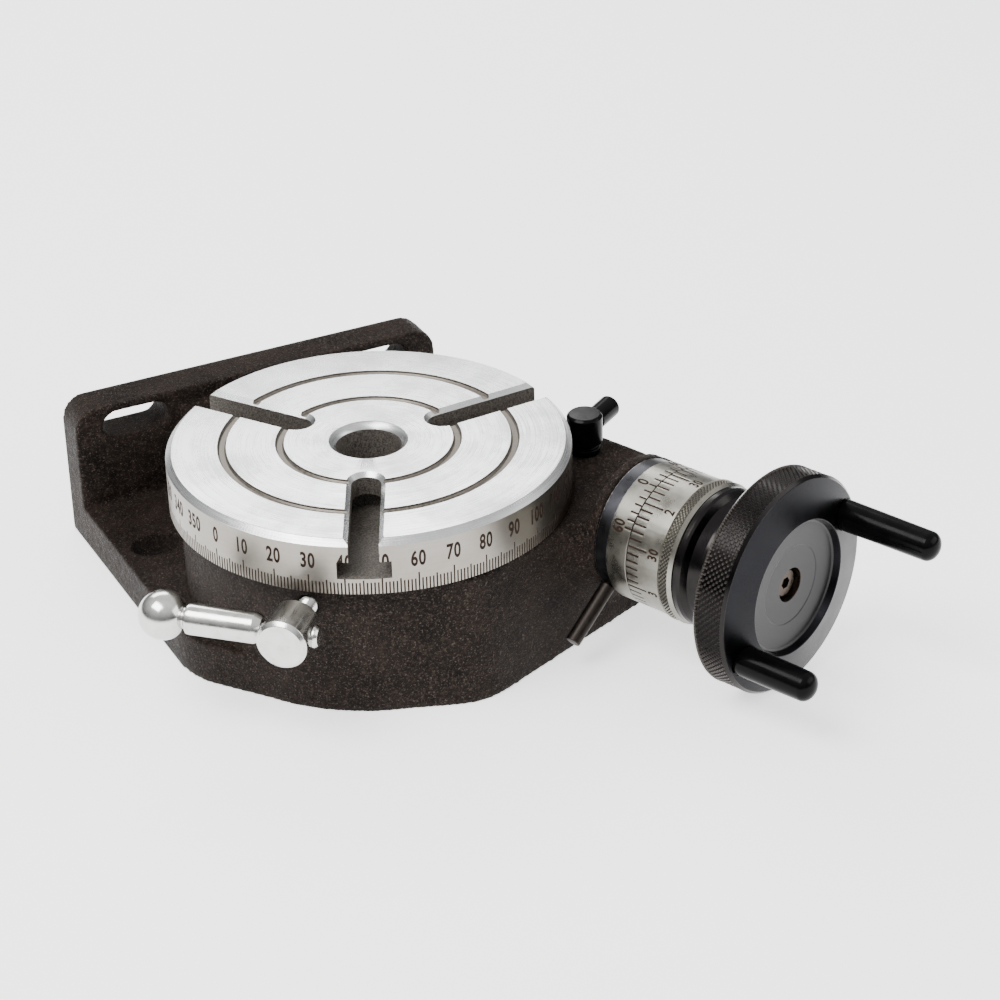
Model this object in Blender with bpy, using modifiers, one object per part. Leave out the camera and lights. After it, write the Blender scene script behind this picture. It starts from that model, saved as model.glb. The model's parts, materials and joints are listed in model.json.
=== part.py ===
"""Horizontal and vertical rotary table, 110 mm, with a worm drive that can be disengaged.

Frame: +Z up, base resting on Z = 0, the upright mounting plate at the back (+Y) and parallel to X.
Every part hangs from an empty that moves the centre of the bounding box to X = Y = 0.
"""
import math

import bmesh
import bpy
from mathutils import Matrix, Vector

MM = 0.001
GAP = 0.3 * MM                  # running gap between neighbouring parts
ROUND = 48                      # facets round a large turned part
SMALL = 20                      # facets round a small turned part

BOX_CENTRE_SHIFT = (-18.55 * MM, 16.64 * MM, 0.0)   # brings the bounding box's centre over the origin

# Table, spindle and worm wheel, about the vertical axis
TABLE_R = 55.0 * MM
RIM_BOTTOM_Z = 38.0 * MM
TABLE_TOP_Z = 53.8 * MM
TABLE_CHAMFER = 1.6 * MM
TABLE_UNDERSIDE_Z = 40.5 * MM
WAY_R = 51.2 * MM               # the ring of the base that carries the table
BORE_R = 8.9 * MM               # No. 2 Morse taper, large end
BORE_SMALL_R = 7.6 * MM
SPINDLE_R = 14.7 * MM
SPINDLE_END_Z = 2.5 * MM
SLOT_ANGLES = [math.radians(a) for a in (-116.2, 3.8, 123.8)]
SLOT_THROAT_W = 8.0 * MM
SLOT_END_R = 23.1 * MM          # centre of the slot's round inner end
TEE_W = 14.2 * MM
TEE_BOTTOM_Z = RIM_BOTTOM_Z + 4.6 * MM
TEE_TOP_Z = RIM_BOTTOM_Z + 9.5 * MM
GROOVE_RADII = (24.1 * MM, 39.7 * MM)
GROOVE_W = 2.4 * MM
GROOVE_DEPTH = 0.9 * MM

# Worm drive: 72 teeth to one start
MODULE = 1.0 * MM
WHEEL_TEETH = 72
WHEEL_PITCH_R = MODULE * WHEEL_TEETH / 2
WHEEL_Z = (26.9 * MM, 34.8 * MM)
WORM_PITCH_R = 4.4 * MM
WORM_R = 5.2 * MM
WORM_CORE_R = 3.4 * MM
WORM_LEAD = math.pi * MODULE
CENTRE_DISTANCE = WHEEL_PITCH_R + WORM_PITCH_R
WORM_Z = 31.0 * MM
WORM_HEADING = math.radians(-67.7)      # from the table axis to the handwheel, seen from above
ECCENTRICITY = 2.0 * MM
ECCENTRIC_ANGLE = math.radians(120)     # from the sleeve's axis to the worm's, seen from the handwheel
SLEEVE_R = 7.9 * MM
DIAL_R = 19.4 * MM
FLANGE_R = 18.9 * MM
KNURL_R = 19.9 * MM

# Stations along the worm's axis, measured from the foot of the common perpendicular
SLEEVE_TAIL_T = -22.0 * MM
HOUSING_FACE_T = 55.3 * MM
BOSS_END_T = 60.9 * MM
FLANGE_T = (61.2 * MM, 65.1 * MM)
VERNIER_T = (65.4 * MM, 71.9 * MM)
DIAL_T = (72.2 * MM, 87.1 * MM)
KNURL_T = 82.8 * MM
HUB_T = 87.4 * MM
WHEEL_BACK_T = 102.3 * MM
WHEEL_FACE_T = 112.1 * MM
WHEEL_CROWN = 2.1 * MM          # how far the handwheel's face rises to the edge of its recess
HANDLE_TIPS_T = (142.5 * MM, 135.2 * MM)
HANDWHEEL_R = 30.3 * MM
HANDLE_PITCH_R = 24.7 * MM
HANDLE_R = 4.1 * MM
HANDLE_ANGLES = [math.radians(a) for a in (29.5, 209.5)]

VERNIER_SCREW_ANGLE = math.radians(-160)
VERNIER_SCREW_T = 68.6 * MM
DIAL_SCREW_ANGLE = math.radians(-40)
DIAL_SCREW_T = 85.0 * MM

# Base casting
BODY_R = 52.0 * MM
BASE_TOP_Z = 37.7 * MM
HOUSING_TOP_Z = 38.7 * MM
HOUSING_SIDE_P = 62.7 * MM
PLATE_X = (-59.0 * MM, 54.5 * MM)
PLATE_Y = (73.0 * MM, 85.0 * MM)
PLATE_TOP_Z = 43.0 * MM
FOOT_Z = 12.0 * MM
CAVITY_R = 38.2 * MM

# Hand clamps
LOCK_T = 32.3 * MM
LOCK_P = 52.6 * MM
LOCK_HANDLE_ANGLE = math.radians(33.5)
CLAMP_HEADING = math.radians(-133.5)
CLAMP_Z = 31.8 * MM
CLAMP_FACE_R = 72.5 * MM
CLAMP_ARM_R = 65.6 * MM


# ---------------------------------------------------------------- scene helpers

def clear_scene():
    for obj in list(bpy.data.objects):
        bpy.data.objects.remove(obj)
    for name in ("rotary_table", "cutters"):
        bpy.context.scene.collection.children.link(bpy.data.collections.new(name))


def material(name, colour, roughness, metallic):
    mat = bpy.data.materials.new(name)
    mat.use_nodes = True
    shader = mat.node_tree.nodes["Principled BSDF"]
    shader.inputs["Base Color"].default_value = (*colour, 1.0)
    shader.inputs["Roughness"].default_value = roughness
    shader.inputs["Metallic"].default_value = metallic
    mat.diffuse_color = (*colour, 1.0)
    return mat


def empty(name, parent=None, matrix=None):
    obj = bpy.data.objects.new(name, None)
    obj.empty_display_size = 0.01
    bpy.data.collections["rotary_table"].objects.link(obj)
    obj.parent = parent
    if matrix is not None:
        obj.matrix_local = matrix
    return obj


def place(obj, parent, mat):
    """Make an object a named part of the table."""
    bpy.data.collections["rotary_table"].objects.link(obj)
    obj.parent = parent
    obj.data.materials.clear()
    obj.data.materials.append(mat)
    obj.data.shade_smooth()
    obj.data.set_sharp_from_angle(angle=math.radians(30))
    return obj


def as_cutter(obj, parent=None):
    bpy.data.collections["cutters"].objects.link(obj)
    obj.parent = parent
    obj.hide_render = True
    obj.display_type = 'WIRE'
    return obj


def boolean(obj, other, operation):
    mod = obj.modifiers.new(operation.lower(), 'BOOLEAN')
    mod.operation = operation
    mod.solver = 'EXACT'
    mod.object = other
    weld = obj.modifiers.new("weld", 'WELD')
    weld.merge_threshold = 0.004 * MM


def cut(obj, *others):
    for other in others:
        boolean(obj, other, 'DIFFERENCE')


def join(obj, *others):
    for other in others:
        boolean(obj, other, 'UNION')


# ---------------------------------------------------------------- shape helpers

def turned(name, profile, steps=ROUND):
    """A turned shape about Z. The profile lists (radius, z) down the outer side, top to bottom.

    A profile that starts and ends on the axis is a solid, and any other one closes on itself.
    """
    mesh = bpy.data.meshes.new(name)
    last = len(profile) - 1
    edges = [(i, i + 1) for i in range(last)]
    if profile[0][0] > 0 or profile[last][0] > 0:
        edges.append((last, 0))
    mesh.from_pydata([(r, 0.0, z) for r, z in profile], edges, [])
    obj = bpy.data.objects.new(name, mesh)
    screw = obj.modifiers.new("turn", 'SCREW')
    screw.axis = 'Z'
    screw.steps = steps
    screw.render_steps = steps
    screw.use_merge_vertices = True
    screw.merge_threshold = 0.00001
    screw.use_smooth_shade = True
    return obj


def rod(name, radius, low, high, steps=SMALL, chamfer=0.0):
    """A plain round bar along Z, with the same chamfer at both ends."""
    c = chamfer
    outer = [(radius - c, high), (radius, high - c), (radius, low + c), (radius - c, low)]
    if c == 0:
        outer = [outer[0], outer[3]]
    return turned(name, [(0.0, high), *outer, (0.0, low)], steps)


def tube(name, outer, inner, low, high, steps=SMALL):
    return turned(name, [(outer, high), (outer, low), (inner, low), (inner, high)], steps)


def prism(name, outline, low, high, shift=None):
    """An outline in XY extruded from low to high. shift moves each top point for a draft."""
    bm = bmesh.new()
    bottom = [bm.verts.new((x, y, low)) for x, y in outline]
    face = bm.faces.new(bottom)
    result = bmesh.ops.extrude_face_region(bm, geom=[face])
    tops = [v for v in result["geom"] if isinstance(v, bmesh.types.BMVert)]
    for v in tops:
        v.co.z = high
        if shift:
            v.co += shift(v.co)
    bmesh.ops.recalc_face_normals(bm, faces=bm.faces)
    mesh = bpy.data.meshes.new(name)
    bm.to_mesh(mesh)
    bm.free()
    return bpy.data.objects.new(name, mesh)


def box(name, low, high):
    bm = bmesh.new()
    bmesh.ops.create_cube(bm, size=1.0)
    low, high = Vector(low), Vector(high)
    for v in bm.verts:
        v.co = low + Vector(((v.co[i] + 0.5) * (high[i] - low[i]) for i in range(3)))
    mesh = bpy.data.meshes.new(name)
    bm.to_mesh(mesh)
    bm.free()
    return bpy.data.objects.new(name, mesh)


def arc(cx, cy, radius, start, end, count):
    """Points on an arc, in degrees, both ends included."""
    steps = [math.radians(start + (end - start) * i / count) for i in range(count + 1)]
    return [(cx + radius * math.cos(a), cy + radius * math.sin(a)) for a in steps]


def stadium(cx, cy, length, width, count=8):
    """The outline of a slot with round ends, lying along X."""
    half = (length - width) / 2
    radius = width / 2
    return arc(cx + half, cy, radius, -90, 90, count) + arc(cx - half, cy, radius, 90, 270, count)


def facing(heading, height=0.0, distance=0.0):
    """A frame whose Z points along a level heading, whose Y is up and whose X is to its left."""
    along = Vector((math.cos(heading), math.sin(heading), 0.0))
    left = Vector((-along.y, along.x, 0.0))
    rotation = Matrix((left, Vector((0, 0, 1)), along)).transposed().to_4x4()
    origin = along * distance + Vector((0.0, 0.0, height))
    return Matrix.Translation(origin) @ rotation


def keep_mesh(obj):
    """Apply the modifiers of a turned shape, so that its mesh can be turned to any direction."""
    scratch = bpy.context.scene.collection
    scratch.objects.link(obj)
    depsgraph = bpy.context.evaluated_depsgraph_get()
    mesh = bpy.data.meshes.new_from_object(obj.evaluated_get(depsgraph))
    scratch.objects.unlink(obj)
    obj.modifiers.clear()
    obj.data = mesh


# ---------------------------------------------------------------- worm thread and wheel teeth

def thread_ridge(name, turns, per_turn=16):
    """The single-start worm thread: a trapezium swept along a helix, closed at both ends."""
    root_r = WORM_CORE_R - 0.5 * MM
    root_w = 1.12 * MM
    tip_w = 0.30 * MM
    section = [(root_r, root_w), (WORM_R, tip_w), (WORM_R, -tip_w), (root_r, -root_w)]
    bm = bmesh.new()
    rings = []
    for i in range(turns * per_turn + 1):
        angle = math.tau * i / per_turn
        t = WORM_LEAD * (i / per_turn - turns / 2)
        rings.append([bm.verts.new((r * math.cos(angle), r * math.sin(angle), t + w))
                      for r, w in section])
    for first, second in zip(rings, rings[1:]):
        for k in range(4):
            bm.faces.new((first[k], first[(k + 1) % 4], second[(k + 1) % 4], second[k]))
    bm.faces.new(rings[0])
    bm.faces.new(rings[-1])
    bmesh.ops.recalc_face_normals(bm, faces=bm.faces)
    mesh = bpy.data.meshes.new(name)
    bm.to_mesh(mesh)
    bm.free()
    return bpy.data.objects.new(name, mesh)


def wheel_outline():
    """Straight-flanked teeth of the worm wheel, one tooth centred on angle 0."""
    root_r, tip_r = 34.9 * MM, 36.85 * MM
    root_half, tip_half = 1.02 * MM, 0.31 * MM
    points = []
    for i in range(WHEEL_TEETH):
        centre = math.tau * i / WHEEL_TEETH
        for r, half in ((root_r, -root_half), (tip_r, -tip_half), (tip_r, tip_half), (root_r, root_half)):
            angle = centre + half / r
            points.append((r * math.cos(angle), r * math.sin(angle)))
    return points


def make_worm_wheel(parent, mat):
    lead_angle = math.atan(WORM_LEAD / (math.tau * WORM_PITCH_R))
    height = WHEEL_Z[1] - WHEEL_Z[0]
    twist = height * math.tan(lead_angle) / WHEEL_PITCH_R
    turn = Matrix.Rotation(twist, 3, 'Z')
    wheel = prism("worm_wheel", wheel_outline(), WHEEL_Z[0], WHEEL_Z[1],
                  shift=lambda co: turn @ co - co)
    # a thread crest lies over the common perpendicular, so a tooth gap faces it
    heading = WORM_HEADING + math.pi / 2
    wheel.data.transform(Matrix.Rotation(heading - twist / 2 + math.pi / WHEEL_TEETH, 4, 'Z'))
    bore = as_cutter(rod("worm_wheel_bore", SPINDLE_R + GAP, 20 * MM, 45 * MM, ROUND), parent)
    cut(wheel, bore, *bolt_circle("worm_wheel_counterbore", parent, 3.7 * MM, 20 * MM, 30.9 * MM),
        *bolt_circle("worm_wheel_hole", parent, 2.3 * MM, 30 * MM, 40 * MM))
    return place(wheel, parent, mat)


def bolt_circle(name, parent, radius, low, high, count=4, pitch_r=19.0 * MM):
    cutters = []
    for i in range(count):
        cutter = as_cutter(rod(f"{name}_{i + 1}", radius, low, high, 16), parent)
        angle = math.tau * (i + 0.5) / count
        cutter.location = (pitch_r * math.cos(angle), pitch_r * math.sin(angle), 0.0)
        cutters.append(cutter)
    return cutters


# ---------------------------------------------------------------- base casting

def tangent_angle(centre, radius):
    """Where a line touches both the round body and a smaller circle, from the line of their centres."""
    return math.degrees(math.acos((BODY_R - radius) / math.hypot(*centre)))


def body_point(angle):
    """A point just inside the round body, where such a line meets it."""
    radius = BODY_R - 0.2 * MM
    return (radius * math.cos(math.radians(angle)), radius * math.sin(math.radians(angle)))


def housing_outline():
    """The worm housing in plan, as (station along the worm, distance from the table axis)."""
    face, side = HOUSING_FACE_T, HOUSING_SIDE_P
    centre, radius = (face - 20.5 * MM, -8.5 * MM), 20.5 * MM
    lean = -tangent_angle(centre, radius) + math.degrees(math.atan2(centre[1], centre[0]))
    front = [body_point(lean)] + arc(*centre, radius, lean, 0, 6)
    corner = arc(face - 4 * MM, side - 4 * MM, 4 * MM, 0, 90, 4)
    return [(0.0, 0.0)] + front + corner + [(-24 * MM, side), (-24 * MM, 20 * MM)]


def worm_to_table(t, p):
    along = (math.cos(WORM_HEADING), math.sin(WORM_HEADING))
    return (t * along[0] - p * along[1], t * along[1] + p * along[0])


def make_housing():
    points = [worm_to_table(t, p) for t, p in housing_outline()]
    along = Vector((math.cos(WORM_HEADING), math.sin(WORM_HEADING), 0.0))

    def draft(co):
        """The end face leans inwards towards its top."""
        station = co.x * along.x + co.y * along.y
        return along * (-1.6 * MM if station > 45 * MM else 0.0)

    return prism("housing_block", points, 0.0, HOUSING_TOP_Z, draft)


def make_plate():
    """The upright plate: an outline in XZ with rounded top corners, two slots and a flat back."""
    x0, x1 = PLATE_X
    r = 7.0 * MM
    outline = [(x0, 0.0), (x1, 0.0)]
    outline += arc(x1 - r, PLATE_TOP_Z - r, r, 0, 90, 6)
    outline += arc(x0 + r, PLATE_TOP_Z - r, r, 90, 180, 6)
    plate = prism("upright_plate", outline, -PLATE_Y[1], -PLATE_Y[0])
    plate.data.transform(Matrix.Rotation(math.pi / 2, 4, 'X'))
    return plate


def plate_slot(name, centre_x):
    outline = stadium(centre_x, 36.4 * MM, 20 * MM, 8 * MM)
    slot = prism(name, outline, -90 * MM, -68 * MM)
    slot.data.transform(Matrix.Rotation(math.pi / 2, 4, 'X'))
    return slot


def make_base(root, worm_axis, sleeve_axis, mat):
    top = 40.2 * MM
    base = turned("base_casting", [(0.0, top), (BODY_R, top), (BODY_R, 0.0), (0.0, 0.0)], 72)
    foot_outline = [(PLATE_X[0], 74 * MM)]
    lean = 180 + tangent_angle((-35 * MM, 0.0), 24 * MM)
    foot_outline += arc(-35 * MM, 0.0, 24 * MM, 180, lean, 6)
    foot_outline += [body_point(lean), (0.0, 0.0), (PLATE_X[1], 0.0), (PLATE_X[1], 74 * MM)]
    foot = prism("foot", foot_outline, 0.0, FOOT_Z)
    saddle = box("saddle", (-26.5 * MM, 30 * MM, 0.0), (21.5 * MM, 74 * MM, 37.2 * MM))
    boss_profile = [(0, 59), (19.3, 59), (19.3, 58.8), (21.6, 56.6), (25, 54.4), (25, 50), (0, 50)]
    cone = turned("boss_cone", [(r * MM, t * MM) for r, t in boss_profile])
    as_cutter(cone, worm_axis)
    above = as_cutter(box("above_housing", (-40 * MM, 7.7 * MM, 40 * MM), (40 * MM, 40 * MM, 58.6 * MM)),
                      worm_axis)
    cut(cone, above)
    ring = as_cutter(rod("boss_ring", 19.3 * MM, 57.8 * MM, BOSS_END_T, ROUND), worm_axis)
    for piece in (foot, saddle, make_housing(), make_plate()):
        join(base, as_cutter(piece, root))
    join(base, cone, ring)
    rim_r = TABLE_R + 0.7 * MM
    rim_profile = [(rim_r, 60 * MM), (rim_r, BASE_TOP_Z), (WAY_R, BASE_TOP_Z), (WAY_R, 60 * MM)]
    rim_space = turned("rim_space", rim_profile, 72)
    core_profile = [(0, 60), (41.6, 60), (41.6, 36.3), (CAVITY_R / MM, 36.3), (CAVITY_R / MM, 24), (17.3, 24),
                    (17.3, 9), (27, 9), (27, -2), (0, -2)]
    core = turned("core", [(r * MM, z * MM) for r, z in core_profile], ROUND)
    sleeve_bore = rod("sleeve_bore", SLEEVE_R + 0.25 * MM, SLEEVE_TAIL_T - 0.5 * MM, 70 * MM, 48)
    cut(base, as_cutter(rim_space, root), as_cutter(core, root), as_cutter(sleeve_bore, sleeve_axis))
    cut(base, as_cutter(plate_slot("slot_left", -40.7 * MM), root),
        as_cutter(plate_slot("slot_right", 35.3 * MM), root))
    for name, x, y in (("foot_slot_left", -48, 44), ("foot_slot_right", 43.5, 50)):
        hole = prism(name, stadium(x * MM, y * MM, 14 * MM, 10.5 * MM), -5 * MM, 20 * MM)
        cut(base, as_cutter(hole, root))
    lock_hole = as_cutter(rod("lock_hole", 3.5 * MM, 19.5 * MM, 45 * MM), root)
    lock_hole.location = (*worm_to_table(LOCK_T, LOCK_P), 0.0)
    clamp_axis = empty("clamp_bore_axis", root, facing(CLAMP_HEADING, CLAMP_Z))
    clamp_hole = as_cutter(rod("clamp_hole", 2.9 * MM, 40 * MM, 60 * MM), clamp_axis)
    shoe_pocket = as_cutter(box("shoe_pocket", (-4 * MM, -3.6 * MM, 36 * MM),
                                (4 * MM, 12 * MM, 47.3 * MM)), clamp_axis)
    stop_hole = as_cutter(rod("stop_hole", 2.3 * MM, -3 * MM, 30 * MM, 16), stop_axis(root))
    cut(base, lock_hole, clamp_hole, shoe_pocket, stop_hole)
    return place(base, root, mat)


def stop_axis(root):
    """The sleeve's stop screw enters level, from the side of the housing."""
    matrix = facing(WORM_HEADING + math.pi / 2, WORM_Z - sleeve_offset().y)
    matrix.translation += Vector((*worm_to_table(46 * MM, HOUSING_SIDE_P - 12.4 * MM), 0.0))
    return empty("stop_screw_axis", root, matrix)


def sleeve_offset():
    """From the sleeve's axis to the worm's axis, in the worm's own frame."""
    return Vector((math.cos(ECCENTRIC_ANGLE), math.sin(ECCENTRIC_ANGLE), 0.0)) * ECCENTRICITY


# ---------------------------------------------------------------- table

def slot_cutters(index, angle, parent):
    """The tee slot, open at the rim and round at its inner end."""
    frame = empty(f"slot_frame_{index}", parent, Matrix.Rotation(angle, 4, 'Z'))

    def layer(name, width, low, high):
        r = width / 2
        outline = [(70 * MM, -r), (70 * MM, r)] + arc(SLOT_END_R, 0.0, r, 90, 270, 10)
        return as_cutter(prism(name, outline, low, high), frame)

    throat = layer(f"slot_throat_{index}", SLOT_THROAT_W, TEE_TOP_Z - MM, TABLE_TOP_Z + MM)
    tee = layer(f"slot_tee_{index}", TEE_W, TEE_BOTTOM_Z, TEE_TOP_Z)
    return throat, tee


def make_table(parent, mat):
    c = TABLE_CHAMFER
    bore_mouth = 10.7 * MM
    profile = [(bore_mouth, TABLE_TOP_Z), (TABLE_R - c, TABLE_TOP_Z), (TABLE_R, TABLE_TOP_Z - c),
               (TABLE_R, RIM_BOTTOM_Z), (51.5 * MM, RIM_BOTTOM_Z), (51.5 * MM, TABLE_UNDERSIDE_Z),
               (41.2 * MM, TABLE_UNDERSIDE_Z), (41.2 * MM, 37.8 * MM), (39.6 * MM, 37.8 * MM),
               (39.6 * MM, TABLE_UNDERSIDE_Z), (22 * MM, TABLE_UNDERSIDE_Z), (22 * MM, 35.1 * MM),
               (SPINDLE_R, 35.1 * MM), (SPINDLE_R, SPINDLE_END_Z), (BORE_SMALL_R, SPINDLE_END_Z),
               (BORE_R, TABLE_TOP_Z - 1.8 * MM)]
    table = turned("table", profile, 72)
    for index, angle in enumerate(SLOT_ANGLES, 1):
        cut(table, *slot_cutters(index, angle, parent))
    for index, radius in enumerate(GROOVE_RADII, 1):
        groove = tube(f"groove_{index}", radius + GROOVE_W / 2, radius - GROOVE_W / 2,
                      TABLE_TOP_Z - GROOVE_DEPTH, TABLE_TOP_Z + MM, ROUND)
        cut(table, as_cutter(groove, parent))
    cut(table, *bolt_circle("table_tapped_hole", parent, 2.3 * MM, 34 * MM, 39.8 * MM))
    return place(table, parent, mat)


def make_spindle_parts(root, table_axis, mats):
    bush = tube("spindle_bush", 17.0 * MM, 15.0 * MM, 9.6 * MM, 23.6 * MM, 48)
    place(bush, root, mats["brass"])
    washer = tube("spindle_washer", 21.0 * MM, 15.0 * MM, 7.4 * MM, 8.7 * MM, 48)
    place(washer, table_axis, mats["steel"])
    for name, low, high in (("spindle_nut", 4.9, 7.1), ("spindle_lock_nut", 2.4, 4.6)):
        nut = tube(name, 20.0 * MM, 15.0 * MM, low * MM, high * MM, 48)
        for i in range(4):
            notch = box(f"{name}_notch_{i + 1}", (17.8 * MM, -2 * MM, 0.0), (25 * MM, 2 * MM, 10 * MM))
            notch.data.transform(Matrix.Rotation(math.tau * i / 4, 4, 'Z'))
            cut(nut, as_cutter(notch, table_axis))
        place(nut, table_axis, mats["steel"])


def make_wheel_screws(table_axis, mat):
    """Four cap screws that hold the worm wheel up against the table, with their heads below."""
    low, seat, high = 27.2 * MM, 30.6 * MM, 39.3 * MM
    shank_r, head_r = 1.9 * MM, 3.3 * MM
    profile = [(0.0, high), (shank_r, high), (shank_r, seat), (head_r, seat), (head_r, low), (0.0, low)]
    for i in range(4):
        angle = math.tau * (i + 0.5) / 4
        spot = Matrix.Translation((19 * MM * math.cos(angle), 19 * MM * math.sin(angle), 0.0))
        frame = empty(f"worm_wheel_screw_frame_{i + 1}", table_axis, spot)
        screw = turned(f"worm_wheel_screw_{i + 1}", profile, 16)
        socket = rod(f"wheel_screw_socket_{i + 1}", head_r / 2, low - MM, low + 2 * MM, 6)
        cut(screw, as_cutter(socket, frame))
        place(screw, frame, mat)


# ---------------------------------------------------------------- worm line

def make_sleeve(sleeve_axis, worm_axis, mats):
    """The eccentric sleeve: turned about its own axis, bored and flanged about the worm's.

    Its window clears the worm wheel over the sleeve's whole travel.
    """
    hub_r = 13.0 * MM
    sleeve = rod("eccentric_sleeve", SLEEVE_R, SLEEVE_TAIL_T, FLANGE_T[0] + MM, 48)
    as_bore = [
        rod("sleeve_worm_bore", 5.45 * MM, SLEEVE_TAIL_T - MM, 18 * MM, 32),
        rod("sleeve_shaft_bore", 3.7 * MM, 10 * MM, 80 * MM, 24),
        rod("sleeve_bush_bore", 5.5 * MM, 58 * MM, 80 * MM, 32),
    ]
    flange = turned("sleeve_flange", [(0.0, VERNIER_T[1]), (hub_r, VERNIER_T[1]), (hub_r, FLANGE_T[1]),
                                      (FLANGE_R, FLANGE_T[1]), (FLANGE_R, FLANGE_T[0]),
                                      (0.0, FLANGE_T[0])])
    join(sleeve, as_cutter(flange, worm_axis))
    cut(sleeve, *[as_cutter(bore, worm_axis) for bore in as_bore])
    window = box("sleeve_window", (1.5 * MM, -20 * MM, -16.5 * MM), (20 * MM, 20 * MM, 16.5 * MM))
    window.data.transform(Matrix.Rotation(math.radians(200), 4, 'Z'))
    cut(sleeve, as_cutter(window, sleeve_axis))
    groove = tube("sleeve_groove", 12 * MM, 6.6 * MM, 43.9 * MM, 48.1 * MM, 32)
    keep = prism("sleeve_groove_part", [(0.0, 0.0)] + arc(0.0, 0.0, 16 * MM, -17, 77, 8),
                 40 * MM, 52 * MM)
    as_cutter(keep, sleeve_axis)
    boolean(groove, keep, 'INTERSECT')
    lever_hole = as_cutter(rod("lever_hole", 1.6 * MM, 14 * MM, 30 * MM), lever_axis(worm_axis))
    cut(sleeve, as_cutter(groove, sleeve_axis), lever_hole)
    cut(sleeve, set_screw_hole("vernier_hole", worm_axis, 8.5 * MM, 14 * MM, VERNIER_SCREW_ANGLE,
                               VERNIER_SCREW_T))
    return place(sleeve, sleeve_axis, mats["bright_steel"])


def set_screw_hole(name, worm_axis, low, high, angle, station):
    frame = radial_frame(f"{name}_frame", worm_axis, angle, station)
    return as_cutter(rod(name, 1.7 * MM, low, high, 16), frame)


def radial_frame(name, worm_axis, angle, station):
    """A frame whose Z points outwards from the worm's axis, at an angle round it."""
    matrix = Matrix.Translation((0, 0, station)) @ Matrix.Rotation(angle, 4, 'Z')
    matrix = matrix @ Matrix.Rotation(math.pi / 2, 4, 'Y')
    return empty(name, worm_axis, matrix)


def lever_axis(worm_axis):
    station = (FLANGE_T[0] + FLANGE_T[1]) / 2
    return radial_frame("engagement_lever_axis", worm_axis, math.radians(215), station)


def make_worm_shaft(worm_axis, mats):
    c = 0.5 * MM
    shaft = turned("worm_shaft", [(0.0, 108 * MM), (3.4 * MM - c, 108 * MM), (3.4 * MM, 108 * MM - c),
                                  (3.4 * MM, 17.7 * MM), (5.1 * MM, 17.7 * MM), (5.1 * MM, 13.5 * MM),
                                  (WORM_CORE_R, 13.0 * MM), (WORM_CORE_R, -21.5 * MM),
                                  (0.0, -21.5 * MM)], 24)
    ridge = thread_ridge("worm_thread", 6)
    ridge.data.transform(Matrix.Rotation(math.pi, 4, 'Z'))
    join(shaft, as_cutter(ridge, worm_axis))
    key_seat = as_cutter(box("key_seat", (1.9 * MM, -1.1 * MM, 94.8 * MM), (6 * MM, 1.1 * MM, 105.2 * MM)),
                         worm_axis)
    tapped = as_cutter(rod("shaft_tapped_hole", 2.3 * MM, 97 * MM, 112 * MM, 16), worm_axis)
    cut(shaft, key_seat, tapped)
    place(shaft, worm_axis, mats["steel"])
    key = box("handwheel_key", (2.2 * MM, -0.9 * MM, 95.1 * MM), (4.7 * MM, 0.9 * MM, 104.9 * MM))
    place(key, worm_axis, mats["steel"])


def make_bushes(sleeve_axis, worm_axis, mats):
    offset = Matrix.Translation(sleeve_offset())
    for name, low, high in (("worm_tail_bush", -21.7, -14.5), ("worm_front_bush", 58.4, 71.9)):
        bush = tube(name, 5.2 * MM, 3.7 * MM, low * MM, high * MM)
        bush.data.transform(offset)
        bush.modifiers["turn"].object = worm_axis
        place(bush, sleeve_axis, mats["brass"])


def make_dials(sleeve_axis, worm_axis, mats):
    vernier = tube("vernier_ring", DIAL_R, 13.3 * MM, VERNIER_T[0], VERNIER_T[1], ROUND)
    cut(vernier, set_screw_hole("vernier_tapped_hole", worm_axis, 12 * MM, 25 * MM,
                                VERNIER_SCREW_ANGLE, VERNIER_SCREW_T))
    vernier.data.transform(Matrix.Translation(sleeve_offset()))
    vernier.modifiers["turn"].object = worm_axis
    place(vernier, sleeve_axis, mats["dial"])
    dial_profile = [(DIAL_R, DIAL_T[0]), (9.0 * MM, DIAL_T[0]), (9.0 * MM, DIAL_T[1]),
                    (KNURL_R, DIAL_T[1]), (KNURL_R, KNURL_T), (DIAL_R, KNURL_T - 0.3 * MM)]
    dial = turned("graduated_dial", list(reversed(dial_profile)))
    tapped = set_screw_hole("dial_tapped_hole", worm_axis, 5 * MM, 25 * MM, DIAL_SCREW_ANGLE,
                            DIAL_SCREW_T)
    cut(dial, tapped)
    place(dial, worm_axis, mats["dial"])
    for name, low, high, angle, station, parent in (
            ("vernier_set_screw", 9.0, 19.0, VERNIER_SCREW_ANGLE, VERNIER_SCREW_T, sleeve_axis),
            ("dial_set_screw", 9.1, 19.3, DIAL_SCREW_ANGLE, DIAL_SCREW_T, worm_axis)):
        screw = rod(name, 1.4 * MM, low * MM, high * MM, 16)
        keep_mesh(screw)
        frame = Matrix.Translation((0, 0, station)) @ Matrix.Rotation(angle, 4, 'Z')
        screw.data.transform(frame @ Matrix.Rotation(math.pi / 2, 4, 'Y'))
        if parent is sleeve_axis:
            screw.data.transform(Matrix.Translation(sleeve_offset()))
        place(screw, parent, mats["black_steel"])


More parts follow.
